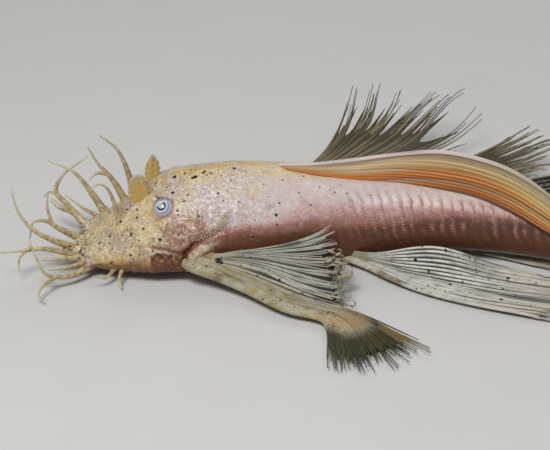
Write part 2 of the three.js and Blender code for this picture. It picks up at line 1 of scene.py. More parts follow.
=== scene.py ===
# %% [markdown]
# # A long-finned bristlenose pleco, life size
# The fish rests on its belly and looks to the left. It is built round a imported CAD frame: one
# skin takes the place of the flesh solids, each fin is laid again with many fine rays, and the
# eyes, tentacles and cheek bristles are pieces of their own. All shapes are worked out in
# millimetres, as in the frame's source, and turned into metres when a mesh is made.

# %% Load the frame
import math

import bpy
import numpy as np
from mathutils import Matrix, Vector, noise


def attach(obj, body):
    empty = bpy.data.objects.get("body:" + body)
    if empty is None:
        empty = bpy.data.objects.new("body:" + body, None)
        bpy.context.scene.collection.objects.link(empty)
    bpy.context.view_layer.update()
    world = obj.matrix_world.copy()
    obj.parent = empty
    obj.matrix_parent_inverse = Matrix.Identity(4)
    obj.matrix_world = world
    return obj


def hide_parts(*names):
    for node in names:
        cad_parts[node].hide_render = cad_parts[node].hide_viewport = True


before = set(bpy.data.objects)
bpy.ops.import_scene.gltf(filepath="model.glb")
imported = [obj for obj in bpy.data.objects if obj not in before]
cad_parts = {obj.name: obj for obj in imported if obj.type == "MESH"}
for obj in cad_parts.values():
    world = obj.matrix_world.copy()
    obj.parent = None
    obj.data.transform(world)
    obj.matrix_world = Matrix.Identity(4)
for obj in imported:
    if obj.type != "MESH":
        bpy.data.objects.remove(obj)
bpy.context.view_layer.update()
print("frame nodes:", sorted(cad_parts))

# %% [markdown]
# ## Camera
# The photograph looks down on the fish's left side at about 28 degrees from half a metre, and
# the picture is turned by 3.5 degrees. The camera sits on a line to the middle of the frame, so
# its place follows from the angle and the distance. A long lens keeps the fish undistorted.

# %% Camera
MM = 0.001
LOOK_DOWN = math.radians(28)
CAMERA_ROLL = math.radians(-3.5)
CAMERA_DISTANCE = 500 * MM
AIM_HEIGHT = 5.24 * MM
SCENE_WIDTH = 121 * MM  # the width that the frame shows at the camera's distance
SENSOR_WIDTH = 36


def put_in_scene(name, data):
    """A new object with the given data, linked into the scene."""
    made = bpy.data.objects.new(name, data)
    bpy.context.collection.objects.link(made)
    return made


camera_data = bpy.data.cameras.new("camera")
camera_data.sensor_width = SENSOR_WIDTH
camera_data.lens = SENSOR_WIDTH * CAMERA_DISTANCE / SCENE_WIDTH
camera = put_in_scene("camera", camera_data)
camera.matrix_world = (
    Matrix.Translation((
        0,
        -CAMERA_DISTANCE * math.cos(LOOK_DOWN),
        AIM_HEIGHT + CAMERA_DISTANCE * math.sin(LOOK_DOWN),
    ))
    @ Matrix.Rotation(math.pi / 2 - LOOK_DOWN, 4, "X")
    @ Matrix.Rotation(CAMERA_ROLL, 4, "Z")
)
bpy.context.scene.camera = camera
print("lens", round(camera_data.lens, 1), "mm")

# %% [markdown]
# ## The body as a few stations
# A pleco is flat below and round above, widest at the cheeks, with a tail that narrows evenly.
# It could be sculpted, but eighteen stations are easier to measure and to mend: the half width,
# the back, the underside, the level where it is widest, and how square the shoulders are. A
# smooth curve through each column fills in the rest.

# %% Body stations
# along, half width, back, underside, level where it is widest, power of the upper curve
BODY_STATIONS = np.array([
    [-44.1, 0.6, 3.6, 2.6, 3.1, 2.0],
    [-43.6, 5.6, 4.5, 1.7, 3.0, 2.0],
    [-42.2, 9.0, 5.2, 1.3, 3.0, 1.9],
    [-40.1, 11.1, 6.5, 1.1, 3.2, 1.8],
    [-36.2, 12.5, 9.3, 1.1, 3.6, 1.75],
    [-32.1, 13.8, 12.7, 1.1, 4.2, 1.7],
    [-28.3, 14.9, 15.6, 1.2, 4.6, 1.7],
    [-24.0, 15.4, 18.1, 1.3, 4.8, 1.7],
    [-19.5, 15.3, 19.4, 1.4, 5.0, 1.75],
    [-12.0, 14.6, 20.4, 0.3, 5.0, 1.8],
    [-6.0, 14.0, 20.5, -0.5, 4.9, 1.8],
    [5.4, 12.8, 19.4, -0.5, 4.9, 1.8],
    [16.5, 11.5, 18.1, -0.4, 5.2, 1.85],
    [27.5, 10.2, 16.8, 0.9, 5.6, 1.9],
    [38.5, 8.6, 15.3, 1.6, 6.0, 1.95],
    [49.5, 7.0, 13.9, 1.7, 6.2, 2.0],
    [60.5, 5.4, 13.1, 1.7, 6.4, 2.0],
    [64.6, 4.9, 13.1, 1.8, 6.6, 2.0],
])
SNOUT_X, TAIL_X = BODY_STATIONS[0, 0], BODY_STATIONS[-1, 0]


def smooth_column(column):
    """A smooth curve through one column of the stations."""
    xs, values = BODY_STATIONS[:, 0], BODY_STATIONS[:, column]
    before, after = np.r_[0, 0:len(xs) - 1], np.r_[1:len(xs), len(xs) - 1]
    slope = (values[after] - values[before]) / (xs[after] - xs[before])

    def at(x):
        i = np.clip(np.searchsorted(xs, x, side="right") - 1, 0, len(xs) - 2)
        span = xs[i + 1] - xs[i]
        t = np.clip((x - xs[i]) / span, 0, 1)
        rise = values[i + 1] - values[i]
        pull = (slope[i] * span - rise) * (1 - t) + (rise - slope[i + 1] * span) * t
        return values[i] + rise * t + t * (1 - t) * pull

    return at


half_width, back, underside, widest, shoulder = (smooth_column(k) for k in range(1, 6))
print("body length", TAIL_X - SNOUT_X, "mm, widest", 2 * BODY_STATIONS[:, 1].max(), "mm")

# %% [markdown]
# ## Places on the body
# A spot lies somewhere along the fish and somewhere around it, from the back over the side to
# the belly. The middle line bends a little to the right at the head and more to the left at the
# tail, as the living fish lay. An unwrapped map could give such places too, but these two
# numbers mean the same on both sides.

# %% Places on the body
HEAD_BEND = 0.0014  # sideways, per square millimetre along
TAIL_BEND = 0.00706
TAIL_BEND_START = 15
BELOW_POWER = 3.4  # power of the lower curve: a belly that is nearly flat


def midline(x):
    """Sideways place of the middle line."""
    return HEAD_BEND * np.minimum(0, x) ** 2 - TAIL_BEND * np.maximum(0, x - TAIL_BEND_START) ** 2


def midline_slope(x):
    """How far the middle line runs sideways for each millimetre along."""
    return 2 * HEAD_BEND * np.minimum(0, x) - 2 * TAIL_BEND * np.maximum(0, x - TAIL_BEND_START)


def body_point(x, around, side):
    """A point of the body: around runs from 0 at the back, over 1 at the side, to 2 below."""
    x, around, side = np.broadcast_arrays(*(np.asarray(v, float) for v in (x, around, side)))
    upper = around <= 1
    angle = np.where(upper, around, around - 1) * math.pi / 2
    power = 2 / np.where(upper, shoulder(x), BELOW_POWER)
    sine = np.sin(angle) ** power
    cosine = np.maximum(0, np.cos(angle)) ** power
    lateral = side * half_width(x) * np.where(upper, sine, cosine)
    above = widest(x) + (back(x) - widest(x)) * cosine
    below = widest(x) - (widest(x) - underside(x)) * sine
    height = np.where(upper, above, below)
    slope = midline_slope(x)
    length = np.hypot(1, slope)
    return np.stack([x - lateral * slope / length, midline(x) + lateral / length, height], axis=-1)


def body_place(points):
    """For points near the body: how far along it they are, how far around, and on which side."""
    x, y, z = points.T
    along = x.copy()
    for _ in range(6):
        slope = midline_slope(along)
        along += ((x - along) + (y - midline(along)) * slope) / (1 + slope ** 2)
        along = np.clip(along, SNOUT_X, TAIL_X)
    slope = midline_slope(along)
    lateral = ((y - midline(along)) - (x - along) * slope) / np.hypot(1, slope)
    level = widest(along)
    out = np.abs(lateral) / np.maximum(half_width(along), 0.3)
    up = np.maximum(0, z - level) / (back(along) - level)
    down = np.maximum(0, level - z) / np.maximum(level - underside(along), 0.3)
    half = shoulder(along) / 2
    above = np.arctan2(out ** half, up ** half)
    below = np.arctan2(down ** (BELOW_POWER / 2), out ** (BELOW_POWER / 2))
    around = np.where(z >= level, above, below + math.pi / 2) / (math.pi / 2)
    return along, around, np.where(lateral < 0, -1, 1)


print("the tail's root lies", round(-midline(TAIL_X), 1), "mm to the left")

# %% [markdown]
# ## Small tools for shapes
# A centripetal Catmull-Rom curve goes through its points without loops, so tentacles and fin
# rays can be given by four or five points each. Tubes are swept along such curves with a frame
# that is carried from ring to ring, so they don't twist. Blender's own curve objects could do
# that too, but here each point of a tube also keeps painted values for its finish.

# %% Curves
def unit(vectors):
    """The same directions at length one."""
    return vectors / np.maximum(np.linalg.norm(vectors, axis=-1, keepdims=True), 1e-9)


def smooth_step(low, high, value):
    """0 at low, 1 at high and smooth between; low may be the larger one."""
    t = np.clip((np.asarray(value, float) - low) / (high - low), 0, 1)
    return t * t * (3 - 2 * t)


def catmull(p0, p1, p2, p3, t):
    """The centripetal curve between p1 and p2, at t from 0 to 1."""
    def pull(a, b):
        return np.maximum(np.linalg.norm(b - a, axis=-1, keepdims=True) ** 0.5, 1e-3)

    d0, d1, d2 = pull(p0, p1), pull(p1, p2), pull(p2, p3)
    start = ((p1 - p0) / d0 - (p2 - p0) / (d0 + d1) + (p2 - p1) / d1) * d1
    end = ((p2 - p1) / d1 - (p3 - p1) / (d1 + d2) + (p3 - p2) / d2) * d1
    cubic = 2 * p1 - 2 * p2 + start + end
    square = 3 * p2 - 3 * p1 - 2 * start - end
    return p1 + t * (start + t * (square + t * cubic))


def curve_through(points, count=200):
    """Points at even distances along the smooth curve through the given points."""
    points = np.asarray(points, float)
    ends = np.vstack([2 * points[0] - points[1], points, 2 * points[-1] - points[-2]])
    steps = np.linspace(0, 1, 40, endpoint=False)[:, None]
    parts = [catmull(*ends[i:i + 4], steps) for i in range(len(points) - 1)]
    dense = np.vstack([*parts, points[-1:]])
    length = np.r_[0, np.cumsum(np.linalg.norm(np.diff(dense, axis=0), axis=1))]
    wanted = np.linspace(0, length[-1], count)
    return np.stack([np.interp(wanted, length, dense[:, k]) for k in range(3)], axis=1)

# %% [markdown]
# ## A shell that grows piece by piece
# A fin has some hundred rays, too many for an object each. A Shell gathers rings, sheets and
# tubes as plain points and faces, and a painted value for each point, and becomes one mesh at
# the end.

# %% Shells
class Shell:
    """Points, faces and painted values of a mesh that grows piece by piece, in millimetres."""

    def __init__(self, *painted):
        self.points, self.faces, self.count = [], [], 0
        self.painted = {name: [] for name in painted}

    def add(self, points, faces, **values):
        points = np.asarray(points, float)
        self.points.append(points)
        self.faces.extend([corner + self.count for corner in face] for face in faces)
        self.count += len(points)
        for name, store in self.painted.items():
            store.append(np.broadcast_to(np.asarray(values.get(name, 0.0), float), len(points)))

    def rings(self, rings, **values):
        """Joins closed rings of equal length, with a fan at each end; a value may be one per ring."""
        rings = np.asarray(rings, float)
        steps, sides, _ = rings.shape
        caps = np.stack([rings[0].mean(axis=0), rings[-1].mean(axis=0)])
        r, c = np.meshgrid(np.arange(steps - 1), np.arange(sides), indexing="ij")
        a, b = (r * sides + c).ravel(), (r * sides + (c + 1) % sides).ravel()
        faces = np.stack([a, b, b + sides, a + sides], axis=1).tolist()
        first, last = steps * sides, (steps - 1) * sides
        for k in range(sides):
            after = (k + 1) % sides
            faces.append([first, after, k])
            faces.append([first + 1, last + k, last + after])
        for name, value in values.items():
            if np.ndim(value) == 1:
                values[name] = np.r_[np.repeat(value, sides), value[0], value[-1]]
        self.add(np.vstack([rings.reshape(-1, 3), caps]), faces, **values)

    def sheet(self, front, rear, **values):
        """Closes two grids of points into a thin sheet, with a narrow edge all around."""
        rows, columns, _ = front.shape
        points = np.vstack([front.reshape(-1, 3), rear.reshape(-1, 3)])
        r, c = np.meshgrid(np.arange(rows - 1), np.arange(columns - 1), indexing="ij")
        a = (r * columns + c).ravel()
        face = np.stack([a, a + 1, a + columns + 1, a + columns], axis=1)
        size = rows * columns
        border = np.concatenate([
            np.arange(columns), np.arange(1, rows) * columns + columns - 1,
            size - 1 - np.arange(1, columns), np.arange(rows - 2, 0, -1) * columns,
        ])
        ahead = np.roll(border, -1)
        edge = np.stack([border, border + size, ahead + size, ahead], axis=1)
        faces = np.vstack([face, face[:, ::-1] + size, edge]).tolist()
        for name, value in values.items():
            values[name] = np.tile(np.broadcast_to(value, (rows, columns)).ravel(), 2)
        self.add(points, faces, **values)

    def tube(self, centres, radii, sides=8, flat=1.0, normal=None, **values):
        """A round tube, or a flat one whose thin way is the given normal."""
        centres = np.asarray(centres, float)
        radii = np.broadcast_to(np.asarray(radii, float), len(centres))
        ahead = unit(np.gradient(centres, axis=0))
        if normal is None:
            across = np.empty_like(ahead)
            start = np.array([0.0, 0.0, 1.0]) if abs(ahead[0, 2]) < 0.8 else np.array([1.0, 0.0, 0.0])
            carried = np.cross(ahead[0], start)
            for i, direction in enumerate(ahead):
                carried = unit(carried - direction * carried.dot(direction))
                across[i] = carried
            normal = np.cross(ahead, across)
        else:
            across = unit(np.cross(normal, ahead))
        angle = np.arange(sides) * 2 * math.pi / sides
        ring = (
            across[:, None] * np.cos(angle)[None, :, None]
            + normal[:, None] * np.sin(angle)[None, :, None] * flat
        )
        self.rings(centres[:, None] + ring * radii[:, None, None], **values)

    def stacked(self):
        return np.vstack(self.points)

    def cover(self, name, value):
        """Sets a painted value over all the points so far."""
        self.painted[name] = [np.asarray(value, float)]

    def mesh(self, name):
        """A mesh of the shell, in metres."""
        made = bpy.data.meshes.new(name)
        made.from_pydata((self.stacked() * MM).tolist(), [], self.faces)
        return made

# %% [markdown]
# ## From a shell to a piece
# The frame has to know the body that a piece rides on and the CAD nodes that it replaces. Said
# after each piece, one of these is soon forgotten, so one function makes the object, attaches it
# to its body and hides the nodes it replaces.

# %% Pieces
def make_piece(name, shell, material, slot, *nodes):
    """Makes an object of a shell, with its painted values as attributes of the points."""
    mesh = shell.mesh(name)
    for attribute, parts in shell.painted.items():
        stored = mesh.attributes.new(attribute, "FLOAT", "POINT")
        stored.data.foreach_set("value", np.concatenate(parts).astype(np.float32))
    mesh.polygons.foreach_set("use_smooth", [True] * len(mesh.polygons))
    mesh.materials.append(material)
    mesh.update()
    piece = put_in_scene(name, mesh)
    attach(piece, "root")
    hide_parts(*nodes)
    print(name, "triangles:", sum(len(face) - 2 for face in shell.faces))

# %% [markdown]
# ## Shader maths as expressions
# A finish is easier to read as arithmetic than as a web of nodes. A Wire holds one socket, and
# sums and products of wires add Math nodes. Colours are mixed with Mix nodes, because Math
# nodes would turn them grey.

# %% Wires
class Wire:
    """A socket of a shader that can stand in a Python expression."""

    def __init__(self, paint, socket):
        self.paint, self.socket = paint, socket

    def __add__(self, other):
        return self.paint.maths("ADD", self, other)

    def __radd__(self, other):
        return self.paint.maths("ADD", other, self)

    def __sub__(self, other):
        return self.paint.maths("SUBTRACT", self, other)

    def __rsub__(self, other):
        return self.paint.maths("SUBTRACT", other, self)

    def __mul__(self, other):
        return self.paint.maths("MULTIPLY", self, other)

    def __rmul__(self, other):
        return self.paint.maths("MULTIPLY", other, self)

    def __truediv__(self, other):
        return self.paint.maths("DIVIDE", self, other)

    def __rtruediv__(self, other):
        return self.paint.maths("DIVIDE", other, self)

    def below(self, limit):
        return self.paint.maths("LESS_THAN", self, limit)

# %% [markdown]
# ## One paint for each finish
# A material in Blender is a tree of nodes behind one shader. Paint makes such a material and is
# the one way to add a node: its kind, its settings, and what goes into its sockets. The short
# methods after it are the few patterns that a fish needs, such as noise, ramps, specks and
# bumps.

# %% Paint
class Paint:
    """A new material with a Principled shader."""

    def __init__(self, name, **constants):
        self.material = bpy.data.materials.new(name)
        self.material.use_nodes = True
        self.tree = self.material.node_tree
        self.shader = self.tree.nodes["Principled BSDF"]
        for socket, value in constants.items():
            self.shader.inputs[socket.replace("_", " ")].default_value = value

    def node(self, kind, settings=None, inputs=None, output=0):
        made = self.tree.nodes.new(kind)
        for name, value in (settings or {}).items():
            if name == "stops":
                self.fill_ramp(made.color_ramp, value)
            else:
                setattr(made, name, value)
        for name, value in (inputs or {}).items():
            self.feed(made.inputs[name], value)
        return Wire(self, made.outputs[output])

    def fill_ramp(self, ramp, stops):
        while len(ramp.elements) < len(stops):
            ramp.elements.new(0.5)
        for element, (position, colour) in zip(ramp.elements, stops):
            element.position = position
            element.color = (*colour, 1)

    def feed(self, socket, value):
        if isinstance(value, Wire):
            self.tree.links.new(value.socket, socket)
        elif isinstance(value, tuple) and len(value) == 3 and socket.type == "RGBA":
            socket.default_value = (*value, 1)
        else:
            socket.default_value = value

    def set(self, socket, value):
        self.feed(self.shader.inputs[socket], value)

    def painted(self, name):
        return self.node("ShaderNodeAttribute", {"attribute_name": name}, output="Fac")

    def place(self):
        """The place on the object, in metres."""
        return self.node("ShaderNodeTexCoord", output="Object")

    def maths(self, operation, *values):
        return self.node("ShaderNodeMath", {"operation": operation}, dict(enumerate(values)))

    def larger(self, first, second):
        return self.maths("MAXIMUM", first, second)

    def join(self, x, y, z):
        return self.node("ShaderNodeCombineXYZ", {}, {0: x, 1: y, 2: z})

    def noise(self, place, size, detail=3, roughness=0.55, distortion=0.0):
        """Soft noise whose lumps are about size wide, in the units of the place."""
        shape = {"Scale": 1 / size, "Detail": detail, "Roughness": roughness, "Distortion": distortion}
        return self.node("ShaderNodeTexNoise", {}, {"Vector": place, **shape})

    def ramp(self, value, *stops):
        return self.node("ShaderNodeValToRGB", {"stops": stops}, {0: value})

    def mix(self, low, high, share, way="MIX"):
        return self.node(
            "ShaderNodeMix",
            {"data_type": "RGBA", "blend_type": way, "clamp_factor": True},
            {0: share, 6: low, 7: high},
            output=2,
        )

    def layers(self, ground, *coats):
        """Lays colours over a ground one after another, each with its own share."""
        for colour, share in coats:
            ground = self.mix(ground, colour, share)
        return ground

    def step(self, low, high, value):
        """0 below low, 1 above high and smooth between; low may be the larger one."""
        smooth = {"interpolation_type": "SMOOTHSTEP"}
        return self.node("ShaderNodeMapRange", smooth, {0: value, 1: low, 2: high, 3: 0.0, 4: 1.0})

    def between(self, value, start, full, fade, end):
        """0 up to start, 1 from full to fade and 0 again from end on."""
        return self.step(start, full, value) * self.step(end, fade, value)

    def grains(self, place, cell):
        """A honeycomb: how far the middle of a cell is, and a random colour for each cell."""
        inputs = {"Vector": place, "Scale": 1 / cell, "Randomness": 1.0}
        settings = {"feature": "F1"}
        near = self.node("ShaderNodeTexVoronoi", settings, inputs, output="Distance")
        lot = self.node("ShaderNodeTexVoronoi", settings, inputs, output="Color")
        return near, lot

    def channel(self, colour, number):
        """The red, green or blue of a colour, by the numbers 0, 1 and 2."""
        return self.node("ShaderNodeSeparateColor", {}, {0: colour}, output=number)

    def specks(self, place, cell, radius, share):
        """Round specks in some cells of a honeycomb: a share of the cells, each of its own size."""
        near, lot = self.grains(place, cell)
        size = radius / cell * (0.35 + self.channel(lot, 1))
        return self.step(1.0, 0.6, near / size) * self.channel(lot, 0).below(share)

    def bump(self, height, distance, strength=1.0, normal=None):
        inputs = {"Height": height, "Distance": distance, "Strength": strength}
        if normal is not None:
            inputs["Normal"] = normal
        return self.node("ShaderNodeBump", {}, inputs)

# %% [markdown]
# ## Colours of the living fish
# A pale, long-finned pleco: ivory and straw on the head, pinkish lilac on the flank where the
# blood shows through, red-brown low down, deepened there with painted shade, and orange in the
# back fin. The colours could be typed into each node, but here they are named once, as linear
# values, and every finish mixes them.

# %% Colours
WHITE = (1, 1, 1)
IVORY = (0.68, 0.555, 0.325)
STRAW = (0.62, 0.43, 0.17)
AMBER = (0.56, 0.31, 0.08)
CREAM = (0.68, 0.58, 0.38)
LILAC = (0.66, 0.54, 0.505)
PINK = (0.58, 0.37, 0.33)
ROSE = (0.38, 0.175, 0.155)
BRICK = (0.24, 0.095, 0.055)
RUST = (0.20, 0.07, 0.03)
BELLY = (0.50, 0.37, 0.28)
OCHRE = (0.40, 0.26, 0.075)
OLIVE = (0.105, 0.085, 0.035)
SMOKE = (0.035, 0.034, 0.033)
PEPPER = (0.012, 0.009, 0.008)
BROWN = (0.12, 0.065, 0.035)
TAN_GREY = (0.36, 0.29, 0.15)
BONE = (0.48, 0.46, 0.38)
FAN_OCHRE = (0.062, 0.054, 0.013)
PALE_BRISTLE = (0.66, 0.58, 0.38)
DARK_RUST = (0.115, 0.038, 0.015)
DARK_RED = (0.14, 0.03, 0.02)
TAN = (0.25, 0.19, 0.105)
PALE_TAN = (0.28, 0.225, 0.135)
DARK_STREAK = (0.12, 0.06, 0.025)
DEEP_ORANGE = (0.52, 0.15, 0.01)
DULL_STRAW = (0.46, 0.35, 0.17)
WARM_STRAW = (0.56, 0.41, 0.20)
FLAP_OCHRE = (0.60, 0.38, 0.10)
DULL_CREAM = (0.36, 0.31, 0.18)
FAR_WEB = (0.10, 0.077, 0.044)
WARM_ROOT = (0.42, 0.31, 0.17)
PALE_ROOT = (0.46, 0.41, 0.30)
KNEE_BROWN = (0.33, 0.19, 0.085)
WARM_BROWN = (0.30, 0.17, 0.08)
MAROON = (0.10, 0.038, 0.03)
COMB = (0.70, 0.53, 0.46)
PALE_SKIN = (0.74, 0.65, 0.63)
DARK_OLIVE = (0.014, 0.012, 0.004)
DULL_YELLOW = (0.40, 0.31, 0.13)
DARK_LINE = (0.035, 0.012, 0.01)
PINK_GREY = (0.50, 0.38, 0.31)
PALE_GREY = (0.60, 0.57, 0.40)
PEARL = (0.70, 0.69, 0.63)
ORANGE = (0.60, 0.22, 0.045)
RED_LINE = (0.33, 0.055, 0.03)

# %% [markdown]
# ## Places on the head
# The gill slit, the cheek fold and the creases of the snout are lines on the skin. Each is a
# few points, given as a place along the body and around it, so the same line serves both sides.
# The largest of the dark specks have a place of their own in the same way.

# %% Lines on the head
# each place is how far along the body and how far around it
GILL_LINE = [
    (-19.0, 1.06), (-19.0, 0.96), (-18.8, 0.87), (-17.4, 0.82), (-16.0, 0.78), (-14.5, 0.755),
    (-12.7, 0.74), (-11.0, 0.7), (-10.2, 0.66),
]
CHEEK_LINE = [(-25.6, 0.76), (-24.0, 0.79), (-22.4, 0.82), (-21.0, 0.85), (-19.5, 0.885)]
SNOUT_CREASE = [(-38.5, 0.34), (-34.0, 0.47), (-30.6, 0.58), (-29.5, 0.76), (-29.6, 0.9)]
FRINGE_LINE = [(-9.8, 0.58), (-10.8, 0.65), (-13.0, 0.7), (-15.2, 0.735), (-17.2, 0.75)]
BLOTS = [
    (-21.2, 0.29), (-26.0, 0.31), (-29.0, 0.41), (-17.0, 0.15), (-16.4, 0.14), (-14.5, 0.08),
    (-11.5, 0.37), (-27.5, 0.55), (-8.0, 0.08), (-24.0, 0.7), (-28.3, 0.66), (-25.5, 0.8),
    (-24.5, 0.84), (-21.0, 0.08),
]


def line_on_body(places, side, count=40):
    """A line on the skin through places given as along and around."""
    places = np.asarray(places, float)
    knots = np.arange(len(places))
    wanted = np.linspace(0, len(places) - 1, count)
    along = np.interp(wanted, knots, places[:, 0])
    around = np.interp(wanted, knots, places[:, 1])
    return body_point(along, around, side)


def line_distance(points, line):
    """How far each point is from a line, how far it lies behind it, and where along the line."""
    best = np.full(len(points), 1e9)
    behind = np.zeros(len(points))
    where = np.zeros(len(points))
    for i in range(len(line) - 1):
        a, b = line[i], line[i + 1]
        span = b - a
        t = np.clip((points - a) @ span / (span @ span), 0, 1)
        offset = points - (a + t[:, None] * span)
        distance = np.linalg.norm(offset, axis=1)
        nearer = distance < best
        best = np.where(nearer, distance, best)
        behind = np.where(nearer, offset[:, 0], behind)
        where = np.where(nearer, (i + t) / (len(line) - 1), where)
    return best, behind, where


slit_ends = [body_point(*GILL_LINE[end], -1).round(1) for end in (0, -1)]
print("left gill slit from", slit_ends[0], "to", slit_ends[1])

# %% [markdown]
# ## Where the eyes sit
# The eyes of a pleco sit high on the sides of the head and look up and outward. The same centre
# and direction place the eyeball, the fleshy rim round it and the flat bed under it, so they
# are two small functions of the side: -1 for the fish's left and 1 for its right.

# %% Places of the eyes
EYE_RADIUS = 2.2
EYE_X = -22.9
EYE_Y = 7.1
EYE_Z = 14.1
EYE_SKEW = 0.75  # the head is turned: the right eye sits this far back, the left one forward


def eye_centre(side):
    return np.array([EYE_X + side * EYE_SKEW, midline(EYE_X) + side * EYE_Y, EYE_Z])


def eye_outward(side):
    """The way an eye looks: a little forward, outward and up."""
    return unit(np.array([-0.25, 0.62 * side, 0.74]))


print("left eye at", eye_centre(-1).round(1))

# %% [markdown]
# ## Tentacles
# The bristles that name the fish are soft tentacles on the snout, forked near their roots. They
# could be bristle particles, but each one shows, so each follows its own three to five points.
# The roots flare into the skin: short stubs are fused with it, and the fine tubes grow out of
# these.

# %% Tentacle data
# the radius at the root, then the points from the root to the tip
TENTACLES = [
    [1.2, [-31.9, -3, 14.5], [-34.4, -4, 21], [-37, -5, 25.4], [-38.8, -6, 30]],
    [0.6, [-35.6, -4.4, 22.6], [-37.4, -5.4, 23.2], [-39.3, -6, 22.2]],
    [0.8, [-33.6, -4.9, 12], [-35.6, -5.4, 19.6], [-37.4, -6.2, 21], [-39.3, -7.4, 20]],
    [1.3, [-36.6, 1, 9.4], [-39.9, 1, 16.1], [-43.1, 1.2, 20.8], [-48.4, 2, 23.4]],
    [1.2, [-41.2, 3.4, 5.6], [-45.7, 6, 10.5], [-47.9, 7, 13.2], [-46.3, 8, 16.5], [-40.4, 10, 19.9]],
    [0.5, [-47.2, 6.7, 12.2], [-49.2, 7.4, 13], [-50.9, 8, 11.6]],
    [1.2, [-42.4, 0.4, 4.2], [-47, -0.6, 7.8], [-50.2, -1.2, 10.4], [-52.6, -2, 10.6], [-53.7, -2.2, 6.8]],
    [0.55, [-48.6, -0.8, 9.2], [-49.4, 0, 12.6], [-49, 0.6, 16.3]],
    [1.2, [-42.6, -2.4, 3.8], [-47.4, -4.4, 6.6], [-52.7, -5, 10.6], [-55.4, -4, 14.6], [-56.4, -3, 19.6]],
    [1.1, [-42.8, -3.8, 2.8], [-47.2, -5, 4.6], [-50.6, -5.6, 5.8], [-54.4, -7, 6.4], [-59.6, -9, 7.3]],
    [0.5, [-53.2, -6.7, 7], [-55.6, -8.6, 5.6], [-56, -10, 3]],
    [1.15, [-42.2, -5.6, 3], [-46.6, -7.6, 4.2], [-51, -9, 4.8]],
    [1.1, [-40.8, -7.2, 3], [-45, -10.2, 3.4], [-49.4, -13, 4.6]],
    [1.1, [-39.6, -8.6, 3], [-45, -12.6, 2.6], [-49.6, -14.2, 4.2], [-51.6, -13.4, 8.4],
     [-52.8, -12.2, 11.8]],
    [0.6, [-47.6, -13.6, 3.2], [-50.6, -17.4, 2.8], [-51.2, -19.6, 2.2], [-50, -21.4, 2.4]],
    [0.8, [-35, -11, 3], [-37, -13.6, 2.2], [-39.6, -15, 3.4]],
    [0.6, [-33.6, -12.2, 2.8], [-34.2, -14.4, 2], [-33.6, -16.4, 0.8]],
    [1.1, [-40.6, 8.6, 3.2], [-45, 12.4, 4.4], [-50, 14.4, 8]],
    [0.5, [-46.6, 13, 5.2], [-48.6, 15.6, 4.6], [-50.4, 17, 6]],
    [1.0, [-38.4, 11.4, 3.4], [-42.6, 15.4, 4], [-47, 18, 6.6]],
    [0.9, [-36, 13.2, 3.4], [-38.4, 17.4, 3.4], [-42, 20, 5.4]],
    [0.7, [-33.6, 14.2, 3.2], [-34.6, 17.2, 2.8], [-36.6, 19.2, 3.8]],
    [1.2, [-30.3, 0, 13.5], [-31, -0.4, 20], [-33, -1.6, 27], [-36.5, -3, 31.2]],
]
TENTACLE_TIP = 0.16
TENTACLE_TAPER = 1.25
ROOT_DEPTH = 1.6
BRANCH_DEPTH = 0.3
MAIN_TENTACLE = 0.75  # a root at least this thick grows from the skin and gets a flared stub


def tentacle_path(root, places):
    """The middle of a tentacle, from a root inside the flesh, or inside its parent, to the tip."""
    places = np.asarray(places, float)
    depth = ROOT_DEPTH if root >= MAIN_TENTACLE else BRANCH_DEPTH
    rooted = np.vstack([places[0] + unit(places[0] - places[1]) * depth, places])
    return curve_through(rooted, 48)


def tentacle_radius(root, t):
    """A slow taper; a branch starts round inside its parent."""
    taper = TENTACLE_TIP + (root * 0.88 - TENTACLE_TIP) * (1 - t) ** TENTACLE_TAPER
    if root >= MAIN_TENTACLE:
        return taper
    return taper * np.sqrt(np.clip(t * 14, 0.05, 1))


main_tentacles = [row for row in TENTACLES if row[0] >= MAIN_TENTACLE]
print(len(TENTACLES), "tentacles,", len(main_tentacles), "with a flared root")

# %% [markdown]
# ## One skin for head, trunk and tail
# The flesh is one closed surface. It could be a subdivision cage, but the roots of the
# tentacles, the rims of the eyes and the lips have to flow into it, so they are laid in as
# simple closed shapes, fused by a voxel remesh and smoothed. After that every point knows its
# place along and around the body, and the relief is worked out from that place.

# %% Rings of the body
RING_COUNT = 170
UPPER_PANELS = 30
LOWER_PANELS = 18
TAIL_ROOT = 5.0  # the flesh narrows to a wedge over this length, where the tail fin is rooted
WEDGE_RINGS = 10
WEDGE_NARROWING = 0.97


def body_rings():
    """Closed rings from the snout to the root of the tail fin."""
    around = np.r_[np.linspace(0, 1, UPPER_PANELS + 1), np.linspace(1, 2, LOWER_PANELS + 1)[1:]]
    rings = []
    for x in np.linspace(SNOUT_X, TAIL_X, RING_COUNT):
        right = body_point(x, around, 1)
        left = body_point(x, around[1:-1], -1)[::-1]
        rings.append(np.vstack([right, left]))
    return rings + tail_wedge(rings[-1])


def tail_wedge(last):
    """Copies of the last ring that move on behind it and get thin like a fin."""
    ahead = unit(np.array([1.0, float(midline_slope(TAIL_X)), 0.0]))
    sideways = np.array([-ahead[1], ahead[0], 0.0])
    lateral = (last - last.mean(axis=0)) @ sideways
    rings = []
    for share in np.linspace(1 / WEDGE_RINGS, 1, WEDGE_RINGS):
        narrow = 1 - math.sqrt(1 - WEDGE_NARROWING * share ** 2)
        rings.append(last - (lateral * narrow)[:, None] * sideways + ahead * TAIL_ROOT * share)
    return rings


base = Shell()
base.rings(body_rings())
print("body rings:", len(base.faces), "faces")

# %% [markdown]
# ## Stubs, rims and lips
# The tentacles, the eyes and the mouth are soft folds of the same skin. A flared stub stands
# under each main tentacle. The rim of an eye and the lips of the sucker mouth are chains of
# balls along a ring: crude on their own, but the remesh that follows rounds them into the rest.

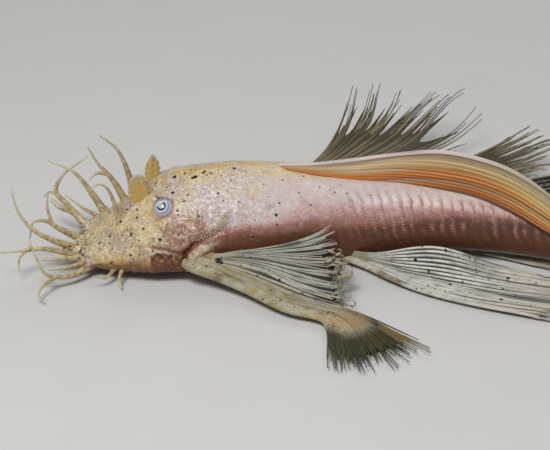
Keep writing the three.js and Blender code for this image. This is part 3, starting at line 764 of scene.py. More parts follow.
# %% Stubs, rims and lips
STUB_SHARE = 0.34
STUB_FLARE = 1.0
RIM_LIFT = 0.6
RIM_GAP = 0.85
RIM_THICKNESS = 0.85
MOUTH_X = -36.7
MOUTH_HEIGHT = 1.35
MOUTH_LENGTH = 3.8
MOUTH_WIDENING = 1.47  # the mouth is that much wider than long
LIP_THICKNESS = 1.2


def ring_line(centre, outward, radius, widening=1.0, count=28):
    """The middle line of a ring that faces outward."""
    sideways = unit(np.cross(outward, [1.0, 0.0, 0.0]))
    forward = np.cross(sideways, outward)
    angle = np.linspace(0, 2 * math.pi, count, endpoint=False)[:, None]
    return centre + radius * (np.cos(angle) * forward + widening * np.sin(angle) * sideways)


def ball_chain(shell, centres, radius):
    """Overlapping balls along a line, for the remesh to fuse."""
    around = np.arange(8) * math.pi / 4
    for centre in centres:
        rings = []
        for k in range(7):
            tilt = math.pi * (k + 0.3) / 6.6
            level = radius * math.cos(tilt)
            flat = radius * math.sin(tilt)
            ring = np.stack([np.cos(around) * flat, np.sin(around) * flat, np.full(8, level)], axis=1)
            rings.append(centre + ring)
        shell.rings(rings)


for root, *places in main_tentacles:
    path = tentacle_path(root, places)
    stub = path[: int(len(path) * STUB_SHARE)]
    t = np.linspace(0, STUB_SHARE, len(stub))
    flare = 0.9 + STUB_FLARE * np.maximum(0, 1 - t / STUB_SHARE) ** 2.2
    base.tube(stub, tentacle_radius(root, t) * flare, sides=14)
for side in (-1, 1):
    outward = eye_outward(side)
    rim = ring_line(eye_centre(side) + outward * RIM_LIFT, outward, EYE_RADIUS + RIM_GAP)
    ball_chain(base, rim, RIM_THICKNESS)
mouth = np.array([MOUTH_X, midline(MOUTH_X), MOUTH_HEIGHT])
upward = np.array([0, 0, 1.0])
ball_chain(base, ring_line(mouth, upward, MOUTH_LENGTH, MOUTH_WIDENING, 40), LIP_THICKNESS)
print("base shapes:", len(base.faces), "faces")

# %% [markdown]
# ## Fuse and smooth the skin
# The shapes still cut through each other. A voxel remesh gives one closed surface round all of
# them, with even squares small enough for the folds of the head. Its steps are then smoothed
# away. A boolean union would keep every crease where two shapes meet.

# %% Fuse and smooth the skin
VOXEL = 0.3
SMOOTHING_ROUNDS = 5


def fused(shell, voxel):
    """The outer surface of all shapes of a shell, as even squares."""
    mesh = shell.mesh("fusing")
    carrier = put_in_scene("fusing", mesh)
    remesh = carrier.modifiers.new("remesh", "REMESH")
    remesh.mode = "VOXEL"
    remesh.voxel_size = voxel * MM
    graph = bpy.context.evaluated_depsgraph_get()
    result = bpy.data.meshes.new_from_object(carrier.evaluated_get(graph))
    points = np.empty(len(result.vertices) * 3)
    result.vertices.foreach_get("co", points)
    faces = np.empty(len(result.polygons) * 4, dtype=np.int64)
    result.polygons.foreach_get("vertices", faces)
    bpy.data.objects.remove(carrier)
    bpy.data.meshes.remove(mesh)
    bpy.data.meshes.remove(result)
    return points.reshape(-1, 3) / MM, faces.reshape(-1, 4)


def smoothed(points, faces, rounds, share=0.5):
    """Moves every point towards the middle of its neighbours, several times."""
    edges = np.vstack([np.stack([faces[:, k], faces[:, (k + 1) % 4]], axis=1) for k in range(4)])
    count = np.bincount(edges[:, 0], minlength=len(points))[:, None]
    for _ in range(rounds):
        total = np.stack(
            [np.bincount(edges[:, 0], points[edges[:, 1], k], len(points)) for k in range(3)], axis=1)
        points = points + share * (total / np.maximum(count, 1) - points)
    return points


def point_normals(points, faces):
    """The outward direction at each point, from the squares round it."""
    a, b, c, d = (points[faces[:, k]] for k in range(4))
    flat = np.cross(c - a, d - b)
    total = np.zeros_like(points)
    for k in range(4):
        for axis in range(3):
            total[:, axis] += np.bincount(faces[:, k], flat[:, axis], len(points))
    return unit(total)


skin_points, skin_faces = fused(base, VOXEL)
skin_points = smoothed(skin_points, skin_faces, SMOOTHING_ROUNDS)
skin_normals = point_normals(skin_points, skin_faces)
along, around, side_of = body_place(skin_points)
print("skin points:", len(skin_points))

# %% [markdown]
# ## Bony plates
# The trunk carries five rows of bony plates on each side. Each plate rises towards its rear
# edge, then drops to the next one, and its middle runs further back than its seams. They could
# be sculpted one by one, but a plate is only a rhythm along the body, so its height is worked
# out from the place, and a soft noise keeps the rhythm from looking like a machine's.

# %% Plates
PLATE_START = -6.0
PLATE_ROWS = 4.0  # rows from the back down to the widest place; a fifth one lies below it
FRONT_PITCH = 2.75
REAR_PITCH = 2.0
PLATE_LIFT = 0.13
FRONT_SLANT = 11.0  # how far a plate's edge runs back per unit of around
REAR_SLANT = 5.0
PLATE_BOW = 0.5
ROW_SHIFT = 0.12  # neighbouring rows are out of step by about this share of a plate


def plate_count(x):
    """How many plates lie between the first one and x; they get shorter towards the tail."""
    pitch = FRONT_PITCH + (REAR_PITCH - FRONT_PITCH) * (x - PLATE_START) / (TAIL_X - PLATE_START)
    rate = (REAR_PITCH - FRONT_PITCH) / (TAIL_X - PLATE_START)
    return np.log(np.maximum(pitch, 0.5) / FRONT_PITCH) / rate


def plate_relief(along, around, wander):
    """Height of the plates, the place within a plate, and how strong the plates are there."""
    slant = FRONT_SLANT + (REAR_SLANT - FRONT_SLANT) * smooth_step(4, 38, along)
    bow = PLATE_BOW * np.cos((around - 0.5) * math.pi * 1.6)
    row = np.floor(around * PLATE_ROWS + 0.9)
    shift = ROW_SHIFT * np.sin(row * 2.1) * (1 - 0.6 * smooth_step(20, 45, along))
    number = plate_count(along - slant * (around - 0.35) - bow + 0.35 * wander) + shift
    within = number - np.floor(number)
    rise = smooth_step(0, 0.7, within) * (1 - smooth_step(0.86, 1, within))
    strength = smooth_step(4, 30, along) * smooth_step(0.15, 0.6, around)
    strength = strength * (1 - smooth_step(0.98, 1.1, around))
    return rise * PLATE_LIFT * strength, within, strength


def soft_noise(points, size, shift=0.0):
    return np.array([noise.noise(Vector((p / size + shift).tolist())) for p in points])


wander = soft_noise(skin_points, 2.5, 3.1)
plate_height, plate_within, plated = plate_relief(along, around, wander)
relief = plate_height * smooth_step(TAIL_X - 0.2, TAIL_X - 2.5, along)
print("plates on each row:", int(plate_count(TAIL_X) - plate_count(PLATE_START)))

# %% [markdown]
# ## Folds of the head
# The head has no plates but naked skin. The gill slit has a thin lid before it and a fleshy
# collar behind it, a fold runs over the cheek, and the snout is creased. Each is a hump or a
# groove over the distance from one of the lines above. The same distances are kept as marks,
# because the finish has to colour the same places.

# %% Gill slit, folds and creases
MARK_NAMES = (
    "gill", "gill_edge", "collar", "cheek", "rim", "knobs", "fold", "fringe", "blot", "grime", "end",
)
COLLAR_LIFT = 0.3
LID_LIFT = 0.2
CHEEK_DEPTH = 0.5
CREASE_DEPTH = 0.3
marks = {name: np.zeros(len(skin_points)) for name in MARK_NAMES}


def hump(value, middle, width):
    """1 at the middle, fading on both sides over about the width."""
    return np.exp(-((value - middle) / width) ** 2)


def carve_gill(here, mine, side):
    near, behind, where = line_distance(here, line_on_body(GILL_LINE, side))
    depth = 1.0 - 0.9 * smooth_step(0.1, 0.95, where)
    collar = hump(near, 2.0, 1.8) * (behind > 0) * (1 - smooth_step(0.5, 1.0, where))
    lid = hump(near, 1.1, 0.8) * (behind < 0) * (1 - smooth_step(0.8, 1.0, where))
    relief[mine] += COLLAR_LIFT * collar + LID_LIFT * lid - depth * hump(near, 0, 0.5)
    rear = (behind > 0) * (1 - smooth_step(0.55, 1.0, where))
    marks["gill"][mine] = hump(near, 0, 0.5) * (1 - smooth_step(0.25, 0.6, where))
    marks["gill_edge"][mine] = hump(near, 0, 0.7) * (1 - smooth_step(0.35, 0.8, where))
    marks["collar"][mine] = hump(near, 1.6, 1.4) * rear


def carve_folds(here, mine, side):
    near, _, where = line_distance(here, line_on_body(CHEEK_LINE, side))
    relief[mine] -= CHEEK_DEPTH * hump(near, 0, 0.4) * smooth_step(0.0, 0.25, where)
    marks["fold"][mine] = hump(near, 0, 0.36)
    near, _, _ = line_distance(here, line_on_body(FRINGE_LINE, side))
    marks["fringe"][mine] = 1 - smooth_step(0.6, 1.3, near)
    near, _, _ = line_distance(here, line_on_body(SNOUT_CREASE, side))
    relief[mine] -= CREASE_DEPTH * hump(near, 0, 0.8)


for side in (-1, 1):
    mine = side_of == side
    carve_gill(skin_points[mine], mine, side)
    carve_folds(skin_points[mine], mine, side)
print("relief so far from", relief.min().round(2), "to", relief.max().round(2), "mm")

# %% [markdown]
# ## Beds of the eyes
# An eyeball lies in a shallow bed with a rim round it. The skin is pressed down along the eye's
# own line of sight, flat in the middle and rising towards the rim. The far eye's socket also
# stands out a little, because the photograph shows it over the back of the head.

# %% Beds of the eyes
BED_HEIGHT = 0.3
BED_RISE = 1.5
BED_REACH = 3.2
FAR_SOCKET_LIFT = 0.9


def press_eye_bed(mine, side):
    centre, outward = eye_centre(side), eye_outward(side)
    offset = skin_points[mine] - centre
    height = offset @ outward
    ring = np.linalg.norm(offset - height[:, None] * outward, axis=1)
    limit = BED_HEIGHT + BED_RISE * smooth_step(1.9, 3.05, ring)
    inside = (ring < BED_REACH) & (height > -1)
    skin_points[mine] -= outward * (np.maximum(0, height - limit) * inside)[:, None]
    if side > 0:
        relief[mine] += FAR_SOCKET_LIFT * hump(np.linalg.norm(offset, axis=1), 0, 3.4)
    lower = smooth_step(0.3, -0.5, offset[:, 2] / np.maximum(ring, 0.5))
    marks["rim"][mine] = hump(ring, 2.9, 0.6) * (height > -1) * lower


for side in (-1, 1):
    press_eye_bed(side_of == side, side)
print("skin marked as rim of an eye:", int((marks["rim"] > 0.5).sum()), "points")

# %% [markdown]
# ## More places for the finish
# Some colours belong to a place and not to a form: the largest dark specks, the soiled lip, the
# rusty cheek, the knobbly skin under the eye and the end of the flesh. They are marked here in
# the same way as the folds.

# %% Marks for the finish
BLOT_REACH = 0.58
for number, place in enumerate(BLOTS):
    reach = np.linalg.norm(skin_points - body_point(*place, -1), axis=1)
    uneven = 0.12 * math.sin(number * 5)
    marks["blot"] = np.maximum(marks["blot"], smooth_step(BLOT_REACH, 0.12, reach - uneven))

tail_end = np.array([TAIL_X, midline(TAIL_X), 0.0])
tail_ahead = unit(np.array([1.0, midline_slope(TAIL_X), 0.0]))
marks["end"] = smooth_step(-1.0, 3.5, (skin_points - tail_end) @ tail_ahead)
marks["grime"] = (
    smooth_step(-39.6, -42.6, skin_points[:, 0]) * smooth_step(7.6, 5.4, skin_points[:, 2])
    * smooth_step(7, 4, skin_points[:, 1])
)
marks["cheek"] = (
    smooth_step(0.82, 0.86, around) * (1 - smooth_step(1.2, 1.4, around))
    * smooth_step(-26.8, -25.0, along) * (1 - smooth_step(-18.9, -18.2, along))
)
marks["knobs"] = (
    smooth_step(0.44, 0.62, around) * (1 - smooth_step(0.74, 0.86, around))
    * smooth_step(-26, -23, along) * (1 - smooth_step(-15, -11.5, along))
)
print("marks:", ", ".join(marks))

# %% [markdown]
# ## Knobs, lumps and the mouth
# Naked skin is never even. Small knobs cover the head, most of all the cheek and the collar,
# over slow lumps and a few folds beside the mouth. Then all the relief is laid on along the
# normals, the mouth is hollowed from below, and nothing stays under the floor.

# %% Knobs, lumps and the mouth
KNOB_SIZE = 0.9
LUMP_SIZE = 4.0
MOUTH_DEPTH = 1.6
FLOOR_GAP = 0.02
on_head = 1 - smooth_step(-12, -4, along)
knobs = soft_noise(skin_points, KNOB_SIZE) * (0.14 + 0.34 * marks["knobs"])
lumps = soft_noise(skin_points, LUMP_SIZE, 7.3) * 0.25
folds = np.sin(along * 3.2 + around * 2) * 0.12 * smooth_step(0.75, 0.9, around)
relief += knobs * on_head * (1 + 1.2 * marks["collar"]) + lumps * on_head
relief += folds * smooth_step(-34, -31, along) * (1 - smooth_step(-27, -25, along))

mouth_offset = skin_points[:, :2] - mouth[:2]
in_mouth = (mouth_offset[:, 0] / 2.4) ** 2 + (mouth_offset[:, 1] / 3.6) ** 2
hollow = MOUTH_DEPTH * (1 - smooth_step(0.5, 1.1, in_mouth)) * (skin_points[:, 2] < 2)
skin_points = skin_points + skin_normals * relief[:, None]
skin_points[:, 2] = np.maximum(skin_points[:, 2] + hollow, FLOOR_GAP)
print("relief from", relief.min().round(2), "to", relief.max().round(2), "mm")

# %% [markdown]
# ## Finish of the skin
# Living skin is several layers: a cream ground, blood that shows as pink and brick red low on
# the flank, dark pepper specks, a fine granular surface and a wet film. The low flank is also
# darkened with painted shade. It could be painted by hand on an unwrapped mesh, but then each
# spot would be fixed to one set of points. Here every layer is a function of the place along
# and around the body: it gets the colour so far and gives back the next one.

# %% Paint of the skin
class SkinPaint(Paint):
    """The skin's paint, with the places and noises that all its layers use."""

    def __init__(self, name):
        super().__init__(
            name, Subsurface_Weight=0.08, Subsurface_Scale=0.0008, IOR=1.38, Coat_Roughness=0.25,
        )
        self.shader.inputs["Subsurface Radius"].default_value = (1.0, 0.35, 0.2)
        self.here = self.place()
        self.along = self.painted("along")
        self.around = self.painted("around")
        self.blotch = self.noise(self.here, 0.005, 4)
        self.mottle = self.noise(self.here, 0.0014, 3, 0.6, 0.6)
        self.grain, lot = self.grains(self.here, 0.0005)
        self.tone = self.channel(lot, 0)
        self.on_head = self.step(2, -10, self.along)
        self.level = self.flank_level()

    def flank_level(self):
        """How low on the flank a place looks: around, with soft blotches, darker to the rear, and raised
        under the shoulder to paint shade there.
        """
        x, q = self.along, self.around
        level = q + (self.blotch - 0.5) * 0.16 + (self.mottle - 0.5) * 0.06
        level = level + self.step(22, 58, x) * 0.22
        # painted shade low under the shoulder: a higher level gives a darker colour there
        shoulder_shade = self.between(x, -15, -8, 4, 20) * self.step(0.6, 0.74, q)
        pale_shoulder = self.between(x, -17, -11, -4, 8) * self.between(q, 0.2, 0.4, 0.62, 0.78)
        return level + shoulder_shade * 0.1 - pale_shoulder * 0.2

# %% [markdown]
# ## Ground of the skin
# The head is straw and cream in blotches over pinkish grey, with ochre at the snout. The trunk
# is lilac under a straw back, then pink and brick red down to a pale belly. Two colour ramps
# over the level on the flank give these, and an uneven line over the nape parts them. The dark
# red-brown just above the belly, on head and trunk, is partly the fish's own colour and partly
# painted shade.

# %% Ground of the skin
def head_ground(paint):
    # amber and rust low on the head: partly its own colour, partly painted shade
    pale = paint.ramp(
        paint.level * 0.5,
        (0.0, STRAW), (0.03, IVORY), (0.12, IVORY), (0.36, IVORY), (0.45, STRAW), (0.52, AMBER),
        (0.6, RUST), (0.75, BELLY), (1.0, BELLY),
    )
    pale = paint.mix(pale, PINK_GREY, paint.step(0.44, 0.62, paint.blotch) * 0.75)
    return paint.mix(pale, OCHRE, paint.step(0.48, 0.64, paint.mottle) * 0.36)


def trunk_ground(paint):
    # brick and dark rust low on the flank: partly the fish's red-brown, partly painted shade
    return paint.ramp(
        paint.level * 0.5,
        (0.0, STRAW), (0.03, IVORY), (0.07, CREAM), (0.12, LILAC), (0.23, LILAC), (0.29, PINK),
        (0.35, ROSE), (0.405, BRICK), (0.46, DARK_RUST), (0.62, DARK_RUST), (0.75, BELLY),
        (1.0, BELLY),
    )


def skin_ground(paint):
    x, q = paint.along, paint.around
    uneven = q + (paint.mottle - 0.5) * 0.1
    nape = paint.step(-26, -12, x + (paint.blotch - 0.5) * 12) * paint.step(0.08, 0.3, uneven)
    # maroon low on the rear flank: partly the fish's own colour, partly painted shade
    low_rear_red_and_shade = paint.step(20, 42, x) * paint.step(0.72, 0.86, paint.level) * paint.step(1.5, 1.3, q)
    back_line = paint.between(x, -26, -18, -8, 10) * paint.step(0.11, 0.02, uneven)
    ground = paint.mix(head_ground(paint), trunk_ground(paint), nape)
    return paint.layers(ground, (MAROON, low_rear_red_and_shade * 0.8), (STRAW, back_line * 0.5))

# %% [markdown]
# ## Blood, cheek and collar
# Blood shines through the thin skin of the shoulder and flank, so it lies there in soft clouds
# and not in an even colour. Low on the flank, from behind the gill back to the tail, a dark band
# is painted shade. The head has stronger marks: a rusty patch with amber and black crumbs on the
# cheek, a pale collar behind the gill, red lines in the folds and an orange rim under each eye.
# Its lower edge is darkened, partly red-brown skin and partly painted shade.

# %% Blood, cheek and collar
def trunk_tones(paint, ground):
    """Blood under the skin in clouds, and a dark band of painted shade along the edge of the belly, from
    the shoulder back.
    """
    x, q = paint.along, paint.around
    shoulder = paint.between(x, -14, -4, 8, 24) * paint.step(0.4, 0.55, q)
    trunk = paint.step(-16, -4, x) * paint.step(0.8, 0.6, q)
    flush = paint.step(0.5, 0.7, paint.noise(paint.here, 0.0032, 2))
    cloud = paint.noise(paint.here, 0.0022, 4, 0.65)
    # painted shade: a dark rust band low on the flank, under the shoulder and back to the tail
    low_flank_shade = paint.step(-15.5, -11, x) * paint.between(q, 0.74, 0.84, 1.2, 1.5)
    return paint.layers(
        ground,
        (ROSE, flush * shoulder * 0.4),
        (PINK, paint.step(0.5, 0.68, cloud) * trunk * 0.4),
        (PALE_SKIN, paint.step(0.5, 0.36, cloud) * trunk * paint.step(45, 20, x) * 0.4),
        (DARK_RUST, low_flank_shade * 0.85),
    )


def head_tones(paint, ground):
    """Knobs, collar, rusty patch, folds, rims and a lower edge darkened partly with painted shade, in the
    order in which they cover each other.
    """
    mottle = paint.mottle
    collar = paint.painted("collar")
    patch = paint.step(0.3, 0.6, paint.painted("cheek") + (mottle - 0.5) * 0.4)
    crumbs = paint.step(0.52, 0.62, paint.noise(paint.here, 0.0009, 2))
    dark_crumbs = paint.step(0.54, 0.62, paint.noise(paint.here, 0.0014, 3))
    # the lower edge of the head: partly red-brown skin, partly painted shade
    low_head_edge_red_and_shade = paint.between(paint.along, -43, -38, -22, -19) * paint.step(0.86, 1.0, paint.level)
    return paint.layers(
        ground,
        (BRICK, paint.step(0.44, 0.58, mottle) * paint.painted("knobs") * 0.6),
        (PINK_GREY, paint.step(0.3, 0.9, collar + (mottle - 0.5) * 0.9) * 0.8),
        (CREAM, paint.step(0.6, 1.1, collar + (paint.blotch - 0.5) * 1.2) * 0.5),
        (BROWN, paint.step(0.54, 0.66, mottle) * collar * 0.5),
        (STRAW, paint.step(0.5, 0.36, mottle) * collar * 0.35),
        (DARK_RUST, patch * 0.95),
        (AMBER, patch * crumbs * 0.65),
        (PEPPER, patch * dark_crumbs * 0.7),
        (DARK_RED, paint.painted("fold") * (0.6 + mottle * 0.6)),
        (BROWN, paint.painted("fringe") * 0.5),
        (RED_LINE, paint.painted("gill_edge") * 0.9),
        (DARK_LINE, paint.painted("gill")),
        (ORANGE, paint.painted("rim") * 0.85),
        (DARK_RUST, low_head_edge_red_and_shade * 0.75),
        (TAN, paint.painted("end") * 0.9),
    )

# %% [markdown]
# ## Combs of the plates
# Along its rear edge each plate has a dull comb of tiny teeth on a rosy ground, and a dark line
# where the next plate begins. The teeth are a sine over the place around the body, so they
# follow the slant of the plate, and they come and go with a soft noise.

# %% Combs of the plates
TEETH_AROUND = 170.0  # phase of the teeth per unit of around
TEETH_ALONG = 3.0


def plate_tones(paint, ground):
    x, q = paint.along, paint.around
    plated = paint.painted("plated")
    rear = paint.painted("plate_rear")
    uneven = paint.step(0.4, 0.62, paint.noise(paint.here, 0.0024, 3))
    phase = q * TEETH_AROUND - x * TEETH_ALONG + (paint.mottle - 0.5) * 9
    teeth = paint.step(-0.1, 0.7, paint.maths("SINE", phase))
    comb = teeth * rear * paint.between(q, 0.28, 0.42, 0.72, 0.95) * (0.15 + 0.85 * uneven)
    flushed = rear * plated * paint.between(q, 0.22, 0.5, 0.8, 1.0)
    edge_line = paint.painted("plate_edge") * plated * paint.step(0.2, 0.5, q)
    saddle = paint.between(x, 4, 16, 34, 52) * paint.step(0.34, 0.2, q + (paint.blotch - 0.5) * 0.2)
    ground = paint.layers(
        ground,
        (ROSE, flushed * uneven * 0.6),
        (BRICK, edge_line * (0.1 + 0.6 * uneven)),
        (COMB, comb * plated * 0.7),
        (AMBER, saddle * 0.3),
    )
    return ground, comb

# %% [markdown]
# ## Grain, specks and wet film
# Close up the skin is a field of tiny grains, coarser on the head, and brown and black specks
# lie on it, denser to the front and above. The grains are cells of a honeycomb, each with its
# own tone. The wet film is a clear coat, and light that goes into the flesh is set on the
# shader itself.

# %% Grain, specks and wet film
def skin_grain(paint, ground):
    fine_share = 0.06 + 0.14 * paint.on_head
    pale_grain = paint.step(0.35, 0.05, paint.tone) * (0.25 + 0.4 * paint.on_head)
    ground = paint.mix(ground, BRICK, paint.step(0.62, 0.95, paint.tone) * fine_share)
    ground = paint.mix(ground, WHITE, pale_grain, "SOFT_LIGHT")
    return paint.mix(ground, BROWN, paint.step(0.5, 0.68, paint.grain) * fine_share)


def skin_specks(paint, ground):
    """Brown and black specks from fine to coarse, the soiled lip and the largest blots."""
    here, mottle = paint.here, paint.mottle
    upper = paint.step(1.0, 0.7, paint.around)
    front = paint.step(45, -6, paint.along)
    fore_head = paint.step(-2, -16, paint.along)
    dirt = paint.step(0.5, 0.75, paint.painted("grime") + (mottle - 0.5) * 1.5)
    return paint.layers(
        ground,
        (BROWN, paint.specks(here, 0.0011, 0.00025, 0.35) * (0.3 + 0.6 * front) * upper),
        (PEPPER, paint.specks(here, 0.0026, 0.00036, 0.22) * front * upper),
        (PEPPER, paint.specks(here, 0.0015, 0.0004, 0.5) * fore_head * 0.85),
        (PEPPER, dirt * paint.step(0.5, 0.6, paint.noise(here, 0.0006, 3)) * 0.9),
        (PEPPER, paint.step(0.4, 0.65, paint.painted("blot") + (mottle - 0.5) * 1.6)),
    )


def skin_paint(name):
    paint = SkinPaint(name)
    ground = trunk_tones(paint, skin_ground(paint))
    ground, comb = plate_tones(paint, head_tones(paint, ground))
    paint.set("Base Color", skin_specks(paint, skin_grain(paint, ground)))
    paint.set("Roughness", 0.45 + paint.mottle * 0.2)
    paint.set("Coat Weight", 0.25 + paint.blotch * 0.2)
    normal = paint.bump(1 - paint.grain, 0.00018, 0.3 + 0.5 * paint.on_head)
    normal = paint.bump(paint.mottle, 0.00025, 0.6, normal)
    paint.set("Normal", paint.bump(comb, 0.00015, 0.9, normal))
    return paint


skin = Shell("along", "around", "plate_edge", "plate_rear", "plated", *marks)
skin.add(
    skin_points,
    skin_faces.tolist(),
    along=along,
    around=around,
    plate_edge=hump(plate_within, 0.96, 0.09) + hump(plate_within, -0.04, 0.09),
    plate_rear=hump(plate_within, 0.76, 0.17),
    plated=plated,
    **marks,
)
make_piece("skin", skin, skin_paint("skin").material, "skin", "snout", "head", "torso", "tail")

# %% [markdown]
# ## Tentacles on the snout
# The tentacles are mottled like the skin. Their finish follows the share of the length: warm
# straw at the root, a brown flush, and pale grey at the tip.

# %% Tentacles on the snout
def soft_paint(name, root_colour, tip_colour, patch_colour):
    """Finish of the tentacles, flaps and bristles: mottled skin with a paler tip."""
    paint = Paint(
        name, Subsurface_Weight=0.1, Subsurface_Scale=0.0005, IOR=1.38, Coat_Weight=0.2,
        Coat_Roughness=0.25,
    )
    paint.shader.inputs["Subsurface Radius"].default_value = (1.0, 0.45, 0.2)
    here = paint.place()
    mottle = paint.noise(here, 0.0011, 3)
    tip = paint.painted("tip")
    flushed = paint.between(tip, 0.12, 0.3, 0.45, 0.75) * paint.step(0.4, 0.6, mottle)
    ground = paint.layers(
        root_colour,
        (tip_colour, tip + (mottle - 0.5) * 0.8),
        (WARM_BROWN, flushed * 0.55),
        (patch_colour, paint.step(0.48, 0.62, mottle) * 0.5),
        (BROWN, paint.specks(here, 0.0009, 0.0002, 0.3) * 0.7),
        (PEPPER, paint.specks(here, 0.002, 0.0003, 0.2) * 0.9),
        (PEPPER, paint.specks(here, 0.0011, 0.00045, 0.5) * paint.painted("grime")),
    )
    paint.set("Base Color", ground)
    paint.set("Roughness", 0.45 + mottle * 0.2)
    near, _ = paint.grains(here, 0.0005)
    paint.set("Normal", paint.bump(mottle - near, 0.00014, 0.6))
    return paint


LOW_ROOT = 4.5  # tentacles rooted below this height are soiled near the root
tentacle_finish = soft_paint("tentacle", WARM_STRAW, PALE_GREY, TAN_GREY)
tentacles = Shell("tip", "grime")
for root, *places in TENTACLES:
    path = tentacle_path(root, places)
    t = np.linspace(0, 1, len(path))
    grime = (1 - smooth_step(0.1, 0.5, t)) * (path[0, 2] < LOW_ROOT)
    tentacles.tube(path, tentacle_radius(root, t), sides=12, tip=t, grime=grime)
make_piece("tentacles", tentacles, tentacle_finish.material, "head_skin", "snout", "head")

# %% [markdown]
# ## Flaps at the nostrils
# Beside each nostril stands a leaf of skin with a ragged edge, about half a millimetre thick.
# It could be a cut-out picture on a card, but its edge catches the light, so the leaf is a bent
# grid with a ragged outline, closed by a second face.

# %% Nostril flaps
# away: sideways from the middle line; lap: how much wider the foot is; taper: of the upper half
FLAPS = [
    {"x": -28.6, "away": -3.6, "sunk": 2.2, "width": 5.2, "height": 7.3, "lean": -0.02,
     "taper": 0.35, "lap": 0.8},
    {"x": -26.4, "away": 3.2, "sunk": 1.4, "width": 3.4, "height": 5.8, "lean": 0.1,
     "taper": 0.7, "lap": 0.1},
]
FLAP_THICKNESS = 0.3


def add_flap(shell, x, away, sunk, width, height, lean, taper, lap, seed):
    """A leaf of skin that stands across the snout, wide along the fish, with a ragged edge."""
    random = np.random.default_rng(seed)
    rows, columns = 40, 44
    v, u = np.meshgrid(np.linspace(0, 1, rows), np.linspace(-1, 1, columns), indexing="ij")
    ragged = np.sin(np.linspace(0, 47, columns)) + random.normal(0, 0.6, columns)
    notches = np.sin(v * 36 + 2 * np.sign(u)) + random.normal(0, 0.5, (rows, 1))
    sides = 1 + 0.07 * notches * smooth_step(0.15, 0.4, v)
    widest_at = 0.55
    narrow = 1 - taper * np.abs((v - widest_at) / (1 - widest_at)) ** 2.4 * (v > widest_at)
    narrow = narrow * (1 + lap * smooth_step(0.3, 0.0, v))
    rise = v * (1 - 0.16 * u ** 2) + 0.035 * ragged[None, :] * smooth_step(0.75, 1.0, v)
    root = np.array([x, midline(x) + away, back(x) - sunk - 0.8])
    upward = unit(np.array([lean, 0.02 * away, 1.0]))
    across = np.array([0.0, 1.0, 0.0])
    forward = unit(np.cross(across, upward))
    bend = 0.4 * u ** 2 * v + 0.3 * np.sin(v * 3 + u) * v + 0.1 * np.sin(u * 9) * v
    sheet = (
        root
        + forward * (u * narrow * sides * width / 2)[..., None]
        + upward * (rise * (height + 1.6))[..., None]
        + across * bend[..., None]
    )
    thin = FLAP_THICKNESS * (1 - 0.8 * np.maximum(np.abs(u) ** 4, v ** 4))
    front = sheet - across * thin[..., None]
    rear = sheet + across * thin[..., None]
    shell.sheet(front, rear, tip=np.maximum(np.abs(u) ** 3.5, v ** 5) * smooth_step(0.2, 0.5, v))


flap_finish = soft_paint("flap", FLAP_OCHRE, PALE_GREY, DULL_STRAW)
flaps = Shell("tip")
for number, flap in enumerate(FLAPS):
    add_flap(flaps, seed=number + 1, **flap)
make_piece("nostril_flaps", flaps, flap_finish.material, "head_skin", "head")
print("flap tips at", round(flaps.stacked()[:, 2].max(), 1), "mm")

# %% [markdown]
# ## Bristles of the cheek
# Behind the cheek, a comb of short stiff bristles lies against the skin. Hair particles would
# stand out evenly, but these are few and all lean back, so each is a small tapered tube along
# the line of the fringe, with a length of its own.

# %% Cheek bristles
BRISTLES = 21
BRISTLE_RADIUS = 0.12
BRISTLE_STEPS = 10
BRISTLE_SINK = 0.6  # share of the length that lies before the line of the fringe


def add_bristle(shell, root, side, share, length):
    outward = unit(np.array([0.1, side * 0.75, 0.5]))
    lie = unit(np.array([0.75 - 0.35 * share, side * 0.42, -0.7 - 0.15 * share]))
    start = root - lie * length * BRISTLE_SINK - outward * 0.02
    middle = start + lie * length * 0.5 + outward * 0.14
    end = start + lie * length + outward * 0.1
    t = np.linspace(0, 1, BRISTLE_STEPS)
    path = curve_through([start, middle, end], BRISTLE_STEPS)
    shell.tube(path, BRISTLE_RADIUS * (1 - 0.5 * t), sides=7, tip=1.0)


bristle_finish = soft_paint("bristle", PALE_BRISTLE, PALE_BRISTLE, CREAM)
bristles = Shell("tip")
random = np.random.default_rng(4)
for side in (-1, 1):
    for k, root in enumerate(line_on_body(FRINGE_LINE, side, BRISTLES)):
        share = k / (BRISTLES - 1)
        length = 1.5 + 0.5 * math.sin(math.pi * share) + random.normal(0, 0.3)
        add_bristle(bristles, root, side, share, length)
make_piece("cheek_bristles", bristles, bristle_finish.material, "head_skin", "head")

# %% [markdown]
# ## Eyes
# Each eye is a small dome in a pale lilac ring. A flap of the iris hangs into the pupil and
# leaves a dark arc, the omega eye of this family. The ring and the arc are worked out from the
# angle away from the line of sight of the eye, and a clear coat gives the wet shine.

# %% Eyeballs
PUPIL_BLUE = (0.52, 0.50, 0.55)
PUPIL_GREY = (0.50, 0.47, 0.50)
RING_BLUE = (0.70, 0.72, 0.80)
RING_PALE = (0.72, 0.75, 0.84)
SLATE = (0.28, 0.33, 0.42)
PALE_SLATE = (0.30, 0.34, 0.44)
IRIS_LILAC = (0.58, 0.60, 0.76)
IRIS_EDGE = (0.52, 0.50, 0.66)
LID_BROWN = (0.34, 0.24, 0.24)
LID_RED = (0.25, 0.12, 0.08)
PUPIL_DARK = (0.03, 0.012, 0.012)
EYE_STEPS = 48
EYE_SIDES = 72
FLAP_TURN = 2.1  # where the flap of the iris hangs, in radians round the line of sight


